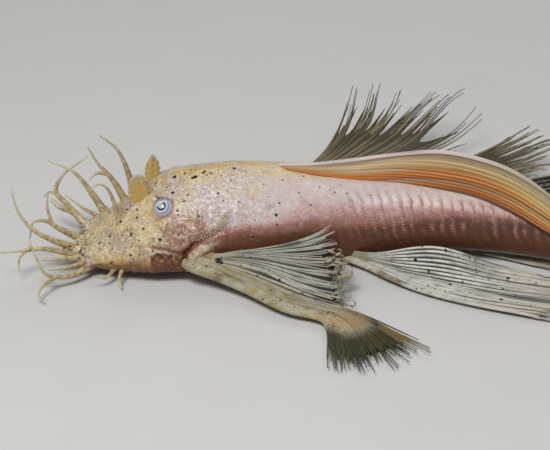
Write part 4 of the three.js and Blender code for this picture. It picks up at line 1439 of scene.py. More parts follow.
def eye_shell(side):
    """A ball in rings round its line of sight, with the tilt away from that line painted on."""
    shell = Shell("tilt", "rightward", "upward")
    centre, outward = eye_centre(side), eye_outward(side)
    forward = unit(np.cross(np.cross(outward, [1.0, 0.0, 0.0]), outward))
    upward = unit(np.cross(forward, outward)) * side
    tilt = np.linspace(0.004, math.pi - 0.004, EYE_STEPS)
    angle = np.linspace(0, 2 * math.pi, EYE_SIDES, endpoint=False)[:, None]
    rings = []
    for value in tilt:
        flat = math.sin(value) * (np.cos(angle) * forward + np.sin(angle) * upward)
        rings.append(centre + EYE_RADIUS * (flat + math.cos(value) * outward))
    shell.rings(rings, tilt=tilt)
    offset = unit(shell.stacked() - centre)
    shell.cover("rightward", offset @ forward)
    shell.cover("upward", offset @ upward)
    return shell


def eye_paint():
    paint = Paint("eye", Roughness=0.25, Coat_Weight=1.0, Coat_Roughness=0.04, IOR=1.4)
    tilt = paint.painted("tilt")
    turn = paint.maths("ARCTAN2", paint.painted("upward"), paint.painted("rightward"))
    away = paint.maths("ABSOLUTE", turn - FLAP_TURN)
    fine = paint.noise(paint.place(), 0.0003, 3)
    rings = paint.ramp(
        tilt / 1.6 + (fine - 0.5) * 0.03,
        (0.0, PUPIL_BLUE), (0.15, PUPIL_GREY), (0.3, RING_BLUE), (0.38, RING_PALE), (0.44, SLATE),
        (0.5, PALE_SLATE), (0.56, IRIS_LILAC), (0.74, IRIS_EDGE), (0.86, LID_BROWN),
        (1.0, LID_RED),
    )
    arc = paint.between(tilt, 0.27, 0.33, 0.46, 0.52) * paint.step(0.8, 1.1, away)
    paint.set("Base Color", paint.mix(rings, PUPIL_DARK, arc))
    return paint


eye_finish = eye_paint()
for name, side in (("left", -1), ("right", 1)):
    make_piece(f"eye_{name}_ball", eye_shell(side), eye_finish.material, "eye", f"eye_{name}")

# %% [markdown]
# ## Fins
# A fin is a fan of jointed rays with a thin web between them. Its surface is laid between a few
# guide curves, each set at a ray number. On it run the rays, as thin tapered tubes, and the
# web, a closed sheet that dips a little between them. A sculpted sheet would be quicker, but
# the light between the rays is what the eye sees first.

# %% Fan surface
class Fan:
    """The curved surface of a fin, laid between guide curves that are set at ray numbers.

    A frill is given as its first and last ray, the share of the length where it starts, and its
    height at the edge.
    """

    def __init__(self, guides, wave=0.5, seed=1, frill=None):
        self.numbers = np.array([number for number, _ in guides], float)
        self.curves = np.stack([curve_through(points) for _, points in guides])
        self.last = self.numbers[-1]
        random = np.random.default_rng(seed)
        self.shift = random.uniform(0, 2 * math.pi, 3)
        self.wave = wave
        self.frill = frill

    def plain(self, ray, t):
        """Points of the smooth surface for arrays of ray numbers and shares of a ray's length."""
        ray, t = np.broadcast_arrays(np.asarray(ray, float), np.asarray(t, float))
        at = np.clip(ray, 0, self.last)
        g = np.clip(np.searchsorted(self.numbers, at, side="left"), 1, len(self.numbers) - 1)
        share = (at - self.numbers[g - 1]) / (self.numbers[g] - self.numbers[g - 1])
        step = np.clip(t, 0, 1) * (self.curves.shape[1] - 1)
        low = np.minimum(step.astype(int), self.curves.shape[1] - 2)
        part = (step - low)[..., None]

        def guide(index):
            index = np.clip(index, 0, len(self.numbers) - 1)
            return self.curves[index, low] * (1 - part) + self.curves[index, low + 1] * part

        p1, p2 = guide(g - 1), guide(g)
        p0 = np.where((g - 2 < 0)[..., None], 2 * p1 - p2, guide(g - 2))
        p3 = np.where((g + 1 > len(self.numbers) - 1)[..., None], 2 * p2 - p1, guide(g + 1))
        return catmull(p0, p1, p2, p3, share[..., None])

    def frame(self, ray, t):
        """Unit vectors along the rays, across them and out of the sheet."""
        ahead = unit(self.plain(ray, np.minimum(1, t + 0.03)) - self.plain(ray, np.maximum(0, t - 0.03)))
        across = self.plain(ray + 0.3, t) - self.plain(ray - 0.3, t)
        across = unit(across - ahead * np.sum(across * ahead, axis=-1, keepdims=True))
        return ahead, across, unit(np.cross(ahead, across))

    def at(self, ray, t):
        """Points with the soft waves that grow towards the edge, and the normals there."""
        _, _, normal = self.frame(ray, t)
        a, b, c = self.shift
        swing = (
            0.5 * np.sin(2.2 * ray + 7 * t + a)
            + 0.35 * np.sin(4.7 * ray + 9 * t + b)
            + 0.25 * np.sin(0.9 * ray - 13 * t + c)
        )
        lift = self.wave * swing * t ** 2
        if self.frill:
            first, last, start, height = self.frill
            mine = smooth_step(first, first + 0.6, ray) * (1 - smooth_step(last - 1.5, last, ray))
            lift = lift + height * np.sin(ray * 5.2 + t * 4) * smooth_step(start, 1, t) * mine
        return self.plain(ray, t) + normal * lift[..., None], normal

# %% [markdown]
# ## Rays of a fin
# A soft ray is a chain of tiny bones that splits in two and then in four, and past the edge of
# the web its tips are free. Lines drawn by a material would vanish against the light, so each
# branch is a thin tube of its own, and its thickness follows the room between its neighbours.

# %% Rays of a fin
FIN_FLOOR = 0.14
THINNEST_RAY = 0.09
RAY_SHARE = 0.37  # radius of a ray, as a share of the room it has
FORK = 0.34  # share of the length where a ray splits in two
SECOND_FORK = 0.6
FORK_WANDER = 0.06
SHORTEST_BRANCH = 0.88  # as a share of the ray's whole length


def ray_room(fan, ray, t, gap):
    """How far apart neighbouring base rays lie."""
    low, high = np.clip(ray - 0.2, 0, fan.last), np.clip(ray + 0.2, 0, fan.last)
    apart = np.linalg.norm(fan.plain(high, t) - fan.plain(low, t), axis=-1)
    return apart / (high - low) * gap


def fin_rays(
    shell, fan, density, end, seed, radius=0.3, steps=60, droop=0.4, sway=0.0,
    reach=lambda ray: 1.0, spread=lambda ray: 0.85,
):
    """Forked rays: each base ray splits into two and then four fine ones.

    End, reach and spread are rules for a base ray: where the web ends, where the ray ends, and
    how much of its room the branches fill. Droop and sway bend the free tips.
    """
    random = np.random.default_rng(seed)
    count = int(round(fan.last * density)) + 1
    gap = fan.last / (count - 1)
    for base in np.linspace(0, fan.last, count):
        fork = FORK + random.uniform(-FORK_WANDER, FORK_WANDER)
        second = SECOND_FORK + random.uniform(-FORK_WANDER, FORK_WANDER)
        sag = random.normal(0, droop)
        lean = random.uniform(0, 2 * math.pi)
        for k in range(4):
            start = 0.0 if k == 0 else (fork if k == 2 else second)
            stop = reach(base) * (1 - (1 - SHORTEST_BRANCH) * random.random() ** 1.5)
            t = np.linspace(start, stop, steps if start == 0 else steps // 2)
            first_split = smooth_step(fork, fork + 0.25, t)
            second_split = smooth_step(second, second + 0.2, t)
            wide = (1 if k >= 2 else -1) * first_split
            narrow = (1 if k % 2 else -1) * second_split
            ray = base + gap * spread(base) * (0.25 * wide + 0.125 * narrow)
            bent = sway * np.sin(t * 7 + lean) * smooth_step(0.45, 1, t)
            wander = gap * 0.06 * np.sin(t * 9 + random.uniform(0, 6)) * t
            ray = np.clip(ray + wander + bent, 0, fan.last)
            points, normal = fan.at(ray, t)
            free = smooth_step(end(base), max(stop, end(base) + 0.05), t)
            points += normal * (free * (sag + random.normal(0, 0.25 * droop + 0.05)))[:, None]
            room = ray_room(fan, ray, t, gap) / (1 + first_split + 2 * second_split)
            own = radius * (1 - 0.3 * t) * (1 - 0.25 * first_split - 0.2 * second_split)
            thick = np.maximum(np.minimum(own, RAY_SHARE * room) * (1 - 0.5 * free), THINNEST_RAY)
            points[:, 2] = np.maximum(points[:, 2], FIN_FLOOR)
            shell.tube(points, thick, sides=8, along=t, across=ray / fan.last, ray=1.0)

# %% [markdown]
# ## Web and spine of a fin
# The web is a thin skin from ray to ray that sags a little between them. A single sheet with a
# thickness modifier would be simpler, but here it is thick and fleshy at the root and a tenth
# of a millimetre at the edge. The first ray is stiff: a tapered bar, rounder than the others.

# %% Web and spine of a fin
WEB_HALF = 0.07
ROOT_HALF = 0.35


def fin_web(
    shell, fan, density, end, steps=40, dip=0.14, half=WEB_HALF, root_half=ROOT_HALF, notch=0.07,
):
    """The web: a closed sheet with a fold at each ray and a scalloped edge between them."""
    count = int(round(fan.last * density)) * 6 + 1
    rays = np.linspace(0, fan.last, count)
    between = np.abs(np.sin(np.arange(count) / 6 * math.pi))
    edge = np.array([end(ray) for ray in rays]) * (1 - notch * between ** 0.5)
    share = np.linspace(0, 1, steps)
    ray = np.repeat(rays[:, None], steps, axis=1)
    t = edge[:, None] * share[None, :]
    points, normal = fan.at(ray, t)
    points = points - normal * (between[:, None] * dip * smooth_step(0.08, 0.35, t))[..., None]
    thick = (half + (root_half - half) * (1 - smooth_step(0.0, 0.3, t)))[..., None]
    front, rear = points + normal * thick, points - normal * thick
    front[..., 2] = np.maximum(front[..., 2], FIN_FLOOR + half)
    rear[..., 2] = np.maximum(rear[..., 2], FIN_FLOOR)
    shell.sheet(front, rear, along=t, across=ray / fan.last)


def spine(shell, fan, ray, reach, root, tip, steps=60, flat=0.7):
    """The stiff first ray, from its root's radius to its tip's."""
    t = np.linspace(0, reach, steps)
    points, normal = fan.at(np.full(steps, ray), t)
    thick = root + (tip - root) * (t / reach) ** 1.2
    points[:, 2] = np.maximum(points[:, 2], thick * flat + FIN_FLOOR)
    shell.tube(points, thick, 16, flat, normal, along=t, across=ray / fan.last, ray=1.0)

# %% [markdown]
# ## Finish of the fins
# The rays are pale and catch the light, the web between them is thin and smoky, so that the
# fin reads as light streaks on dark. Towards the outer fan of the breast fin it turns olive and
# ochre. Glass would be too clear for such skin, so the web is a dull colour that lets a little
# through.

# %% Finish of the fins
def fin_paint(name, rays, tips, web, root, bar, web_alpha, specks, root_reach):
    paint = Paint(
        name, Subsurface_Weight=0.05, Subsurface_Scale=0.0004, IOR=1.36, Specular_IOR_Level=0.35,
        Coat_Weight=0.12, Coat_Roughness=0.3,
    )
    place = paint.place()
    along = paint.painted("along")
    across = paint.painted("across")
    ray = paint.painted("ray")
    flesh = paint.painted("flesh")
    tint = paint.painted("tint")
    streak = paint.noise(paint.join(along * 4.0, across * 70.0, 0.0), 1.0, 3)
    band = paint.noise(paint.join(along * 2.0, across * 22.0, 4.0), 1.0, 2)
    mottle = paint.noise(place, 0.0018, 3)
    blotch = paint.noise(place, 0.006, 3)
    near_root = paint.step(root_reach, root_reach * 0.4, along + (mottle - 0.5) * 0.1)
    outward = paint.step(root_reach * 0.3, root_reach, along)
    ray_tone = paint.layers(
        rays,
        (tips, tint),
        (TAN_GREY, paint.step(0.45, 0.7, mottle) * (0.5 - 0.4 * tint)),
        (root, near_root * 0.5),
    )
    web_tone = paint.layers(
        web,
        (DARK_OLIVE, tint),
        (ray_tone, paint.step(0.6, 0.8, streak) * 0.3),
        (root, near_root * 0.9),
        (BROWN, paint.step(0.5, 0.6, streak) * near_root * 0.7),
    )
    banded_rays = paint.layers(
        ray_tone,
        (SMOKE, paint.step(0.5, 0.36, streak) * outward * 0.4),
        (SMOKE, paint.step(0.46, 0.38, band) * outward * 0.7),
    )
    knee = paint.painted("knee")
    fleshy = paint.layers(
        bar,
        (DULL_YELLOW, paint.step(0.45, 0.65, blotch) * 0.6),
        (rays, paint.step(0.42, 0.62, mottle) * 0.6),
        (BROWN, paint.step(0.53, 0.62, streak) * 0.75),
        (AMBER, knee * 0.3),
    )
    golden = paint.between(across, 0.4, 0.425, 0.455, 0.48) * paint.step(0.8, 1.0, tint)
    fine = paint.specks(place, 0.0012, 0.00028, specks)
    coarse = paint.specks(place, 0.0024, 0.0004, specks * 0.8)
    solid = paint.larger(ray, flesh)
    ground = paint.layers(
        web_tone,
        (banded_rays, ray),
        (fleshy, flesh),
        (KNEE_BROWN, knee * paint.step(0.2, 0.4, across) * 0.6),
        (OCHRE, golden * 0.45),
        (PEPPER, (fine * 0.75 + coarse) * (0.2 + 0.8 * solid)),
        (PEPPER, paint.painted("blot")),
    )
    paint.set("Base Color", ground)
    paint.set("Roughness", 0.4 + mottle * 0.25)
    paint.set("Alpha", web_alpha + (1 - web_alpha) * paint.larger(solid, near_root))
    paint.set("Normal", paint.bump(streak + mottle * 0.5, 0.00012, 0.6))
    return paint

# %% [markdown]
# ## Four finishes of the fins
# The near fins are pale with an olive or ochre rim, the far ones a dull tan, and the tail fin's
# root is tan. They differ in tone and not in build, so each is a call with its own colours.

# %% Four finishes of the fins
breast_fin = fin_paint(
    "breast_fin", rays=BONE, tips=FAN_OCHRE, web=SMOKE, root=WARM_ROOT, bar=DULL_CREAM,
    web_alpha=0.94, specks=0.5, root_reach=0.4,
)
belly_fin = fin_paint(
    "belly_fin", rays=PEARL, tips=OCHRE, web=SMOKE, root=PALE_ROOT, bar=BONE,
    web_alpha=0.94, specks=0.5, root_reach=0.3,
)
far_fin = fin_paint(
    "far_fin", rays=PALE_TAN, tips=OLIVE, web=FAR_WEB, root=TAN, bar=TAN,
    web_alpha=0.9, specks=0.2, root_reach=0.16,
)
tail_fin = fin_paint(
    "tail_fin", rays=BONE, tips=OCHRE, web=SMOKE, root=TAN, bar=TAN,
    web_alpha=0.9, specks=0.15, root_reach=0.16,
)
print("fin finishes:", breast_fin.material.name, belly_fin.material.name, far_fin.material.name)

# %% [markdown]
# ## Near breast fin
# The near breast fin lies on the floor. Its spine is a broad cream bar, its outer rays run on
# past the tip of the spine as an olive fan, and its inner rays end in curls. A cloth simulation
# wouldn't find these curls, so each is a flat ribbon that turns up and over from the edge.

# %% Curls and painted places
RUFFLE = 1.2  # share of the length past the tips, which marks the ruffles
RUFFLE_STEPS = 30


def add_ruffles(shell, fan, rays, end, seed):
    """Narrow ribbons that curl up from the trailing edge of a fin."""
    random = np.random.default_rng(seed)
    for ray in rays:
        t = end + random.uniform(-0.07, 0.04)
        origin, normal = fan.at(np.array([ray]), np.array([t]))
        ahead, across, _ = fan.frame(np.array([ray]), np.array([t]))
        upward = normal * np.sign(normal[:, 2:])
        radius = random.uniform(0.8, 1.8)
        turn = np.linspace(-0.3, random.uniform(3.0, 4.8), RUFFLE_STEPS)
        share = np.linspace(0, 1, RUFFLE_STEPS)
        size = (radius * (1 - 0.4 * share))[:, None]
        around = np.sin(turn)[:, None] * ahead - np.cos(turn)[:, None] * upward
        drift = random.uniform(-2.2, 2.2) * share
        path = origin + upward * radius + around * size + across * drift[:, None]
        path[:, 2] = np.maximum(path[:, 2], FIN_FLOOR + 0.1)
        width = random.uniform(0.2, 0.42) * (1 - 0.75 * share)
        shell.tube(path, width, 8, 0.25, around, along=RUFFLE, across=ray / fan.last, ray=1.0)


def paint_fin(shell, name, rule):
    """Paints a value over a fin by a rule of the shares along and across."""
    along = np.concatenate(shell.painted["along"])
    across = np.concatenate(shell.painted["across"])
    shell.cover(name, np.clip(rule(along, across), 0, 1))


def fin_shell():
    return Shell("along", "across", "ray", "flesh", "tint", "knee", "blot")

# %% [markdown]
# ## Guides of the near breast fin
# Six guide curves carry the fin, each set at the number of the ray it stands for. The first
# three run out along the spine and bend into the fan, the fourth is the notch between fan and
# curls, and the last two rise to the edge that stands free of the floor.

# %% Near breast fin
breast_left = Fan([
    (0, [[-21.5, -10, 4.6], [-19.1, -15.5, 4.7], [-14.0, -18.2, 3.5], [-7.8, -22.8, 2.5], [0.6, -31.8, 1.9],
         [8.2, -36.4, 1.6], [8.8, -54, 1.0]]),
    (3, [[-20.5, -10, 5.2], [-17.8, -15.6, 5.3], [-12.6, -18, 4.2], [-6.4, -22, 3.1], [2.6, -30.2, 2.1],
         [12, -36.2, 1.6], [16.4, -58.4, 0.9]]),
    (6, [[-19.5, -10, 5.7], [-16.4, -15.6, 5.9], [-11, -17.5, 5], [-4.6, -20.8, 3.7], [5, -28.2, 2.5],
         [16, -34.8, 1.6], [30, -50, 1.0]]),
    (7, [[-18.6, -10, 6], [-15.3, -15.5, 6.3], [-10, -16.9, 5.7], [-3.4, -19.4, 4.6], [4.6, -25.2, 3.2],
         [10.8, -29.2, 2.5], [17, -31, 2]]),
    (10, [[-17.6, -10, 6.4], [-14.1, -15.4, 6.8], [-9, -16.1, 6.8], [-2.8, -17.1, 6.5], [4.8, -19.2, 5.8],
          [11, -20, 4.8], [16.4, -20, 3.8]]),
    (13, [[-16.6, -10, 6.8], [-13, -15.3, 7.3], [-8.5, -15.3, 7.6], [-3.9, -15.2, 7.8], [3.2, -14.8, 8.6],
          [8.6, -14.1, 10], [12.2, -13.2, 11.6]]),
], wave=0.3, seed=3, frill=(6.4, 12.5, 0.6, 1.1))
FIN_BLOTS = [(7.2, 0.22, 0.95), (6.4, 0.29, 0.4), (9.9, 0.4, 0.35), (5.6, 0.36, 0.35)]  # ray, share, radius


def breast_left_end(ray):
    """Where the web ends: far out on the outer fan, short between the fan and the curls."""
    middle = smooth_step(5.9, 6.3, ray) * (1 - smooth_step(6.6, 7.2, ray))
    return (0.89 + 0.02 * smooth_step(6, 7, ray)) * (1 - middle) + 0.66 * middle


def breast_left_reach(ray):
    middle = smooth_step(6.05, 6.2, ray) * (1 - smooth_step(6.8, 7.0, ray))
    inner = smooth_step(6.8, 7.0, ray) * (1 - smooth_step(11.6, 12.2, ray))
    return 1 - 0.3 * middle - 0.06 * inner


def make_breast_left():
    shell = fin_shell()
    fin_web(shell, breast_left, 1.85, breast_left_end, steps=60, root_half=0.18, notch=0.03)
    fin_rays(
        shell, breast_left, 1.85, breast_left_end, seed=5, radius=0.36, steps=80, droop=0.2,
        reach=breast_left_reach, spread=lambda ray: 0.95 if ray < 6.3 else 0.75,
    )
    add_ruffles(shell, breast_left, np.linspace(6.8, 11.2, 32), 0.91, 6)
    spine(shell, breast_left, 0.8, 0.74, 1.2, 0.8)
    spine(shell, breast_left, 2.2, 0.74, 0.95, 0.6)
    paint_fin(shell, "tint", lambda along, across: smooth_step(0.66, 0.8, along) * (across < 0.5))
    paint_fin(shell, "knee", lambda along, across: (
        smooth_step(0.6, 0.68, along) * smooth_step(0.76, 0.71, along) * smooth_step(0.56, 0.46, across)
    ))
    paint_fin(shell, "flesh", lambda along, across: (
        (1 - smooth_step(0.7, 0.79, along)) * (1 - smooth_step(0.36, 0.54, across + 0.25 * (along - 0.45)))
        + 0.7 * (along >= RUFFLE)
    ))
    points = shell.stacked()
    blots = np.zeros(len(points))
    for ray, share, radius in FIN_BLOTS:
        reach = np.linalg.norm(points - breast_left.plain(ray, share), axis=1)
        blots = np.maximum(blots, 1 - smooth_step(0.6 * radius, radius, reach))
    shell.cover("blot", blots)
    make_piece("breast_fin_left", shell, breast_fin.material, "fin", "pectoral_fin_left")


make_breast_left()

# %% [markdown]
# ## Far breast fin
# The far fin stands up behind the back, with its web drawn in between the tips, so that they
# stand in bunches. It is made in the same way as the near one, with fewer rays, more sway and
# no curls.

# %% Far breast fin
breast_right = Fan([
    (0, [[-15.5, 9, 3.4], [-6, 22.6, 2.4], [10.6, 36.4, 2.4], [18, 48.6, 7], [21, 56.9, 11.5]]),
    (3, [[-15, 9, 3.7], [-4, 20.8, 2.8], [13, 34, 3], [23, 44.6, 6.6], [28.6, 55.6, 11.4]]),
    (6, [[-14.5, 9, 4.1], [-2, 18.8, 3.4], [15, 30.6, 3.6], [29, 40.4, 6.2], [39.6, 51.6, 11]]),
    (8, [[-14.2, 9, 4.5], [-1, 17.4, 4], [16, 26.6, 4.2], [31.5, 36.2, 6], [47, 51, 11.2]]),
    (10, [[-13.8, 9, 5], [0, 16.2, 4.8], [16, 22, 4.8], [33, 29.4, 4.6], [50.4, 37, 4.6]]),
    (12, [[-13.4, 9, 5.8], [-1, 15.6, 6.4], [9, 17, 6.8], [17, 19, 7], [26, 23, 6.6]]),
], wave=0.5, seed=5)


def make_breast_right():
    shell = fin_shell()
    fin_web(shell, breast_right, 1.1, lambda ray: 0.9, steps=80, notch=0.17)
    fin_rays(
        shell, breast_right, 1.1, lambda ray: 0.78, seed=8, radius=0.42, steps=90, droop=0.8, sway=0.5,
        spread=lambda ray: 0.6,
    )
    spine(shell, breast_right, 0.6, 0.8, 1.1, 0.5)
    paint_fin(shell, "tint", lambda along, across: 0.5 * smooth_step(0.3, 0.8, along))
    paint_fin(shell, "flesh", lambda along, across: (
        (1 - smooth_step(0.4, 0.6, along)) * (1 - smooth_step(0.1, 0.2, across))
    ))
    make_piece("breast_fin_right", shell, far_fin.material, "fin", "pectoral_fin_right")


make_breast_right()

# %% [markdown]
# ## Belly fins
# They trail from under the belly like long ribbons. Their inner edges lean up against the
# flank. Left and right lie differently, so each has its own guides, and one function makes
# both. The far one gets the far breast fin's finish and its drawn-in web.

# %% Belly fins
BELLY_FINS = [
    {
        "side": "left", "finish": belly_fin, "seed": 7, "notch": 0.05, "fill": 0.8, "sway": 0.0,
        "guides": [
            (0, [[9.6, -8, 2.4], [17.4, -12.9, 1.7], [24.2, -20.6, 1.3], [30.4, -26.4, 1.1],
                 [41, -33.4, 1.0], [58, -42, 1.0]]),
            (5, [[10.8, -8, 2.7], [19.4, -13.4, 2.3], [27, -18.9, 1.8], [35, -23, 1.5],
                 [47, -28.4, 1.2], [66, -35, 1.0]]),
            (9, [[12, -8, 3], [21, -13.6, 4.2], [34, -14.6, 5.2], [46, -18.4, 2.6], [60, -25, 1.2]]),
        ],
    },
    {
        "side": "right", "finish": far_fin, "seed": 8, "notch": 0.14, "fill": 0.7, "sway": 0.35,
        "guides": [
            (0, [[8, 8, 2.4], [15.4, 17.2, 1.5], [30, 26, 1.6], [47, 31.6, 3.6], [61.3, 34.4, 9.2]]),
            (5, [[10, 8, 2.7], [21, 16.4, 1.8], [35, 21.6, 2], [51, 25, 3.4], [66, 28, 6]]),
            (9, [[12, 8, 3], [21, 13, 3.4], [33, 13.2, 3], [45, 13.4, 2.4], [60, 14.6, 2]]),
        ],
    },
]


def make_belly_fin(side, finish, seed, notch, fill, sway, guides):
    fan = Fan(guides, wave=0.4, seed=seed)
    shell = fin_shell()
    fin_web(shell, fan, 2.0, lambda ray: 0.92, steps=60, root_half=0.15, notch=notch)
    fin_rays(
        shell, fan, 2.0, lambda ray: 0.86, seed=seed, radius=0.32, steps=80, droop=0.3, sway=sway,
        spread=lambda ray: fill,
    )
    spine(shell, fan, 0.3, 0.9, 0.8, 0.35)
    paint_fin(shell, "tint", lambda along, across: 0.3 * smooth_step(0.5, 0.9, along))
    paint_fin(shell, "flesh", lambda along, across: (
        (1 - smooth_step(0.6, 0.8, along)) * (1 - smooth_step(0.06, 0.16, across))
    ))
    make_piece(f"belly_fin_{side}", shell, finish.material, "fin", f"pelvic_fin_{side}")


for fin in BELLY_FINS:
    make_belly_fin(**fin)

# %% [markdown]
# ## Tail, adipose and anal fins
# The tail fin is a tall soft fan with a streamer above and below. The adipose fin is a short
# spine with a web behind it. The anal fin lies folded between tail and floor. They differ only
# in their guides and a few numbers, so they are rows of a list for one function.

# %% Tail fin and small fins
def over_midline(*places):
    """Points over the middle line, given as how far along and how high."""
    return [[x, midline(x), z] for x, z in places]


SMALL_FINS = [
    {
        "name": "tail_fan", "node": "caudal_fin", "slot": "fin", "density": 1.3, "end": 0.88,
        "seed": 11, "wave": 0.5, "root": 0.7,
        "guides": [
            (0, [[62, -14.6, 11.6], [69, -20.5, 14.4], [80, -27.5, 19], [93, -32.5, 22.6],
                 [110, -35, 23]]),
            (6, [[62, -14.6, 7.4], [70, -21.2, 8.2], [80, -28, 9.4], [90, -33, 10.4],
                 [98, -36, 10.6]]),
            (12, [[62, -14.6, 3], [69.5, -21, 2.6], [81, -29, 1.8], [95, -36, 1.2],
                  [114, -42, 1.0]]),
        ],
    },
    {
        "name": "adipose", "node": "adipose_fin", "slot": "orange_fin", "density": 1.6, "end": 0.9,
        "seed": 13, "wave": 0.2, "root": 0.6,
        "guides": [
            (0, over_midline((45.5, 12), (50, 15.4), (55, 18.6), (64, 23))),
            (4, over_midline((54.5, 11.6), (57, 13.4), (60, 14.8), (64.5, 16))),
        ],
    },
    {
        "name": "anal", "node": "anal_fin", "slot": "fin", "density": 3, "end": 0.85,
        "seed": 15, "wave": 0.0, "root": 0.4,
        "guides": [
            (0, [[38, -5, 2.8], [42, -8.6, 0.9], [48, -12.4, 0.75], [55, -17, 0.75], [60, -20.4, 0.8]]),
            (2, [[44, -7, 2.8], [47, -9, 0.9], [50.5, -10.8, 0.75], [55, -13.6, 0.75], [59, -16, 0.8]]),
        ],
    },
]


def make_small_fin(name, node, slot, density, end, seed, wave, root, guides):
    fan = Fan(guides, wave=wave, seed=seed)
    shell = fin_shell()
    fin_web(shell, fan, density, lambda ray: end, steps=50, half=0.06, root_half=0.2)
    fin_rays(shell, fan, density, lambda ray: end, seed=seed, radius=0.26, droop=min(wave, 0.3))
    spine(shell, fan, 0.0, 0.8, root, 0.25)
    paint_fin(shell, "tint", lambda along, across: 0.3 * smooth_step(0.5, 0.9, along))
    make_piece(name, shell, tail_fin.material, slot, node)


for fin in SMALL_FINS:
    make_small_fin(**fin)

# %% [markdown]
# ## Finish of the back fin
# The back fin is half folded, so its sheet is opaque and streaked: tan under the pale ridge,
# saturated orange in the core, a dark line along the lower edge, and yellow where it trails
# past the tail. Two colour ramps run across the fin, one for the front and one for the rear,
# and noise drawn out along the rays streaks them.

# %% Finish of the back fin
RIDGE_BROWN = (0.14, 0.09, 0.055)
RIDGE_TAN = (0.44, 0.30, 0.17)
CORE_TAN = (0.46, 0.26, 0.08)
CORE_RUST = (0.42, 0.17, 0.03)
FOLD_RUST = (0.30, 0.08, 0.02)
FOLD_TAN = (0.46, 0.24, 0.13)
LOW_TAN = (0.44, 0.21, 0.10)
LOW_ORANGE = (0.52, 0.17, 0.035)
EDGE_RUST = (0.30, 0.075, 0.015)
REAR_RIDGE = (0.46, 0.38, 0.28)
REAR_TAN = (0.40, 0.32, 0.18)
REAR_OLIVE = (0.14, 0.11, 0.05)
REAR_STRAW = (0.42, 0.31, 0.12)
REAR_YELLOW = (0.52, 0.36, 0.10)
REAR_ORANGE = (0.55, 0.27, 0.05)
REAR_BROWN = (0.14, 0.08, 0.02)
REAR_AMBER = (0.55, 0.32, 0.08)
REAR_RUST = (0.50, 0.18, 0.03)
REAR_EDGE = (0.24, 0.06, 0.015)


def back_paint():
    paint = Paint(
        "back_fin", Subsurface_Weight=0.08, Subsurface_Scale=0.0006, IOR=1.38, Coat_Weight=0.15,
        Coat_Roughness=0.25,
    )
    along = paint.painted("along")
    across = paint.painted("across")
    place = paint.place()
    fine = paint.noise(paint.join(along * 1.6, across * 26.0, 0.0), 1.0, 2)
    coarse = paint.noise(paint.join(along * 1.0, across * 6.0, 3.0), 1.0, 2)
    mottle = paint.noise(place, 0.0015, 3)
    unfolded = 0.58 + 0.42 * paint.step(0.15, 0.5, along)
    level = across * unfolded + (coarse - 0.5) * 0.04
    front = paint.ramp(
        level,
        (0.0, LILAC), (0.035, LILAC), (0.06, RIDGE_BROWN), (0.1, RIDGE_TAN), (0.3, CORE_TAN),
        (0.38, CORE_RUST), (0.44, DEEP_ORANGE), (0.56, DEEP_ORANGE), (0.62, FOLD_RUST),
        (0.68, FOLD_TAN), (0.75, LOW_TAN), (0.84, LOW_ORANGE), (1.0, EDGE_RUST),
    )
    rear = paint.ramp(
        level,
        (0.0, REAR_RIDGE), (0.06, REAR_TAN), (0.1, REAR_OLIVE), (0.16, REAR_STRAW),
        (0.36, REAR_YELLOW), (0.5, REAR_ORANGE), (0.58, REAR_BROWN), (0.64, REAR_AMBER),
        (0.8, REAR_RUST), (1.0, REAR_EDGE),
    )
    tip = paint.step(0.42, 0.72, along + (coarse - 0.5) * 0.2)
    upper = paint.step(0.44, 0.34, level)
    ground = paint.layers(
        front,
        (rear, tip),
        (CREAM, paint.step(0.53, 0.63, fine) * (0.14 + 0.6 * upper)),
        (DARK_STREAK, paint.step(0.47, 0.38, fine) * (0.35 + 0.45 * upper)),
        (PEPPER, paint.specks(place, 0.0028, 0.00028, 0.15)),
    )
    paint.set("Base Color", ground)
    paint.set("Roughness", 0.4 + mottle * 0.2)
    paint.set("Normal", paint.bump(fine, 0.00012, 0.7))
    return paint

# %% [markdown]
# ## Back fin
# Its spine makes the pale upper ridge, and the rays behind it lie packed over the left side of
# the back like a folded fan. Under the ridge a low keel of skin closes the gap to the back. The
# guides follow the ridge, the middle of the fold and its lower edge.

# %% Back fin
BACK_GUIDES = [
    (0, [[1.5, 0, 19.9], [9, 0, 19.5], [17, 0, 19.9], [28, -0.8, 21.1], [36.4, -3.4, 22.4],
         [44.5, -7.2, 22], [51, -11, 20.6], [57, -15.2, 17.6], [63, -20, 13], [74, -28, 8]]),
    (4, [[2.5, -1.0, 19.7], [9, -1.9, 18.9], [17, -2.6, 18.4], [28, -4, 18.9], [36.5, -6.6, 18.8],
         [44.4, -9.8, 18], [51, -13.8, 16.4], [57, -18.2, 13.6], [64, -23.4, 9.8], [78, -32, 5.6]]),
    (8, [[3.5, -1.8, 19.4], [9.5, -3.0, 18.4], [17, -3.5, 17.0], [27, -4.2, 16.2], [35, -6.2, 15.5],
         [43, -9.3, 14.5], [49.5, -13.6, 12.9], [56, -18.6, 10.4], [63, -24.6, 8], [72, -31.6, 5]]),
]
KEEL_X = [5.5, 9, 13, 17, 21, 25, 28.5]
KEEL_DEPTH = 2.4  # how far the keel reaches down into the back
KEEL_FRONT = 18.3
KEEL_RISE = 2.3


def keel_ring(x):
    """A section of the keel: it leans over to the left under the folded rays."""
    lean = smooth_step(3, 14, x)
    ridge = KEEL_FRONT + KEEL_RISE * smooth_step(2, 26, x)
    low = back(x) - KEEL_DEPTH
    return [
        [x, 0.45, low], [x, 0.4, ridge - 1.0], [x, 0.0, ridge - 0.7],
        [x, -2.0 * lean + 0.3, ridge - 3.4], [x, -2.8 * lean + 0.1, low],
    ]


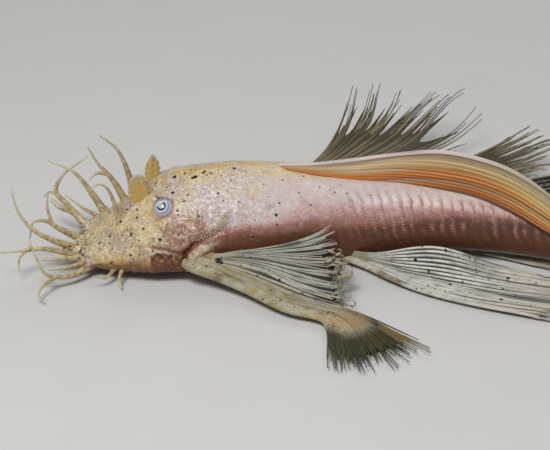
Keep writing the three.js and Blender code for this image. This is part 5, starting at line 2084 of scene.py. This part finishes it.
def make_back_fin():
    fan = Fan(BACK_GUIDES, wave=0.12, seed=17)
    shell = fin_shell()
    fin_web(shell, fan, 1.25, lambda ray: 0.92, steps=90, dip=0.2, half=0.2, root_half=0.2)
    fin_rays(
        shell, fan, 1.25, lambda ray: 0.86, seed=18, steps=90, droop=0.1, spread=lambda ray: 0.6,
    )
    spine(shell, fan, 0.0, 0.9, 0.55, 0.3, steps=90, flat=0.8)
    shell.rings([keel_ring(x) for x in KEEL_X], along=0.3, across=0.02)
    make_piece("back_fin", shell, back_paint().material, "orange_fin", "dorsal_fin")


make_back_fin()

# %% [markdown]
# ## Floor
# A plain pale floor carries the fish and takes its shadow. It is one large square with a faint
# cloudiness, so that it doesn't look like a cut-out behind the fins.

# %% Floor
FLOOR_SIZE = 3.0  # in metres
FLOOR_DARK = (0.62, 0.61, 0.59)
FLOOR_PALE = (0.66, 0.65, 0.63)


def make_floor():
    mesh = bpy.data.meshes.new("floor")
    half = FLOOR_SIZE / 2
    corners = [(-half, -half, 0), (half, -half, 0), (half, half, 0), (-half, half, 0)]
    mesh.from_pydata(corners, [], [(0, 1, 2, 3)])
    floor = put_in_scene("floor", mesh)
    paint = Paint("floor", Roughness=0.9)
    paint.set("Base Color", paint.mix(FLOOR_DARK, FLOOR_PALE, paint.noise(paint.place(), 0.02, 4)))
    mesh.materials.append(paint.material)
    print("floor", FLOOR_SIZE, "m wide")


make_floor()

# %% [markdown]
# ## Light
# Soft studio light: one large light above and in front, where a flash would be, a wide weak one
# from behind, and a pale surrounding. Small lights would give the wet skin hard glints.

# %% Light
# place and size in metres, power in watts
LIGHTS = [
    {"name": "key", "place": (-0.12, -0.28, 0.5), "size": (0.25, 0.2), "power": 2.4},
    {"name": "back_light", "place": (0.2, 0.5, 0.45), "size": (0.5, 0.3), "power": 1.0},
]
LIGHT_TARGET = (0, 0, 0.01)
SKY_COLOUR = (0.9, 0.93, 1.0, 1)
SKY_STRENGTH = 0.2


def make_light(name, place, size, power):
    data = bpy.data.lights.new(name, "AREA")
    data.shape = "RECTANGLE"
    data.size, data.size_y = size
    data.energy = power
    light = put_in_scene(name, data)
    light.location = place
    light.rotation_euler = (Vector(LIGHT_TARGET) - Vector(place)).to_track_quat("-Z", "Y").to_euler()
    print(name, power, "W")


for light in LIGHTS:
    make_light(**light)
world = bpy.data.worlds.new("studio")
world.use_nodes = True
background = world.node_tree.nodes["Background"]
background.inputs["Color"].default_value = SKY_COLOUR
background.inputs["Strength"].default_value = SKY_STRENGTH
bpy.context.scene.world = world
bpy.context.scene.view_settings.view_transform = "Standard"
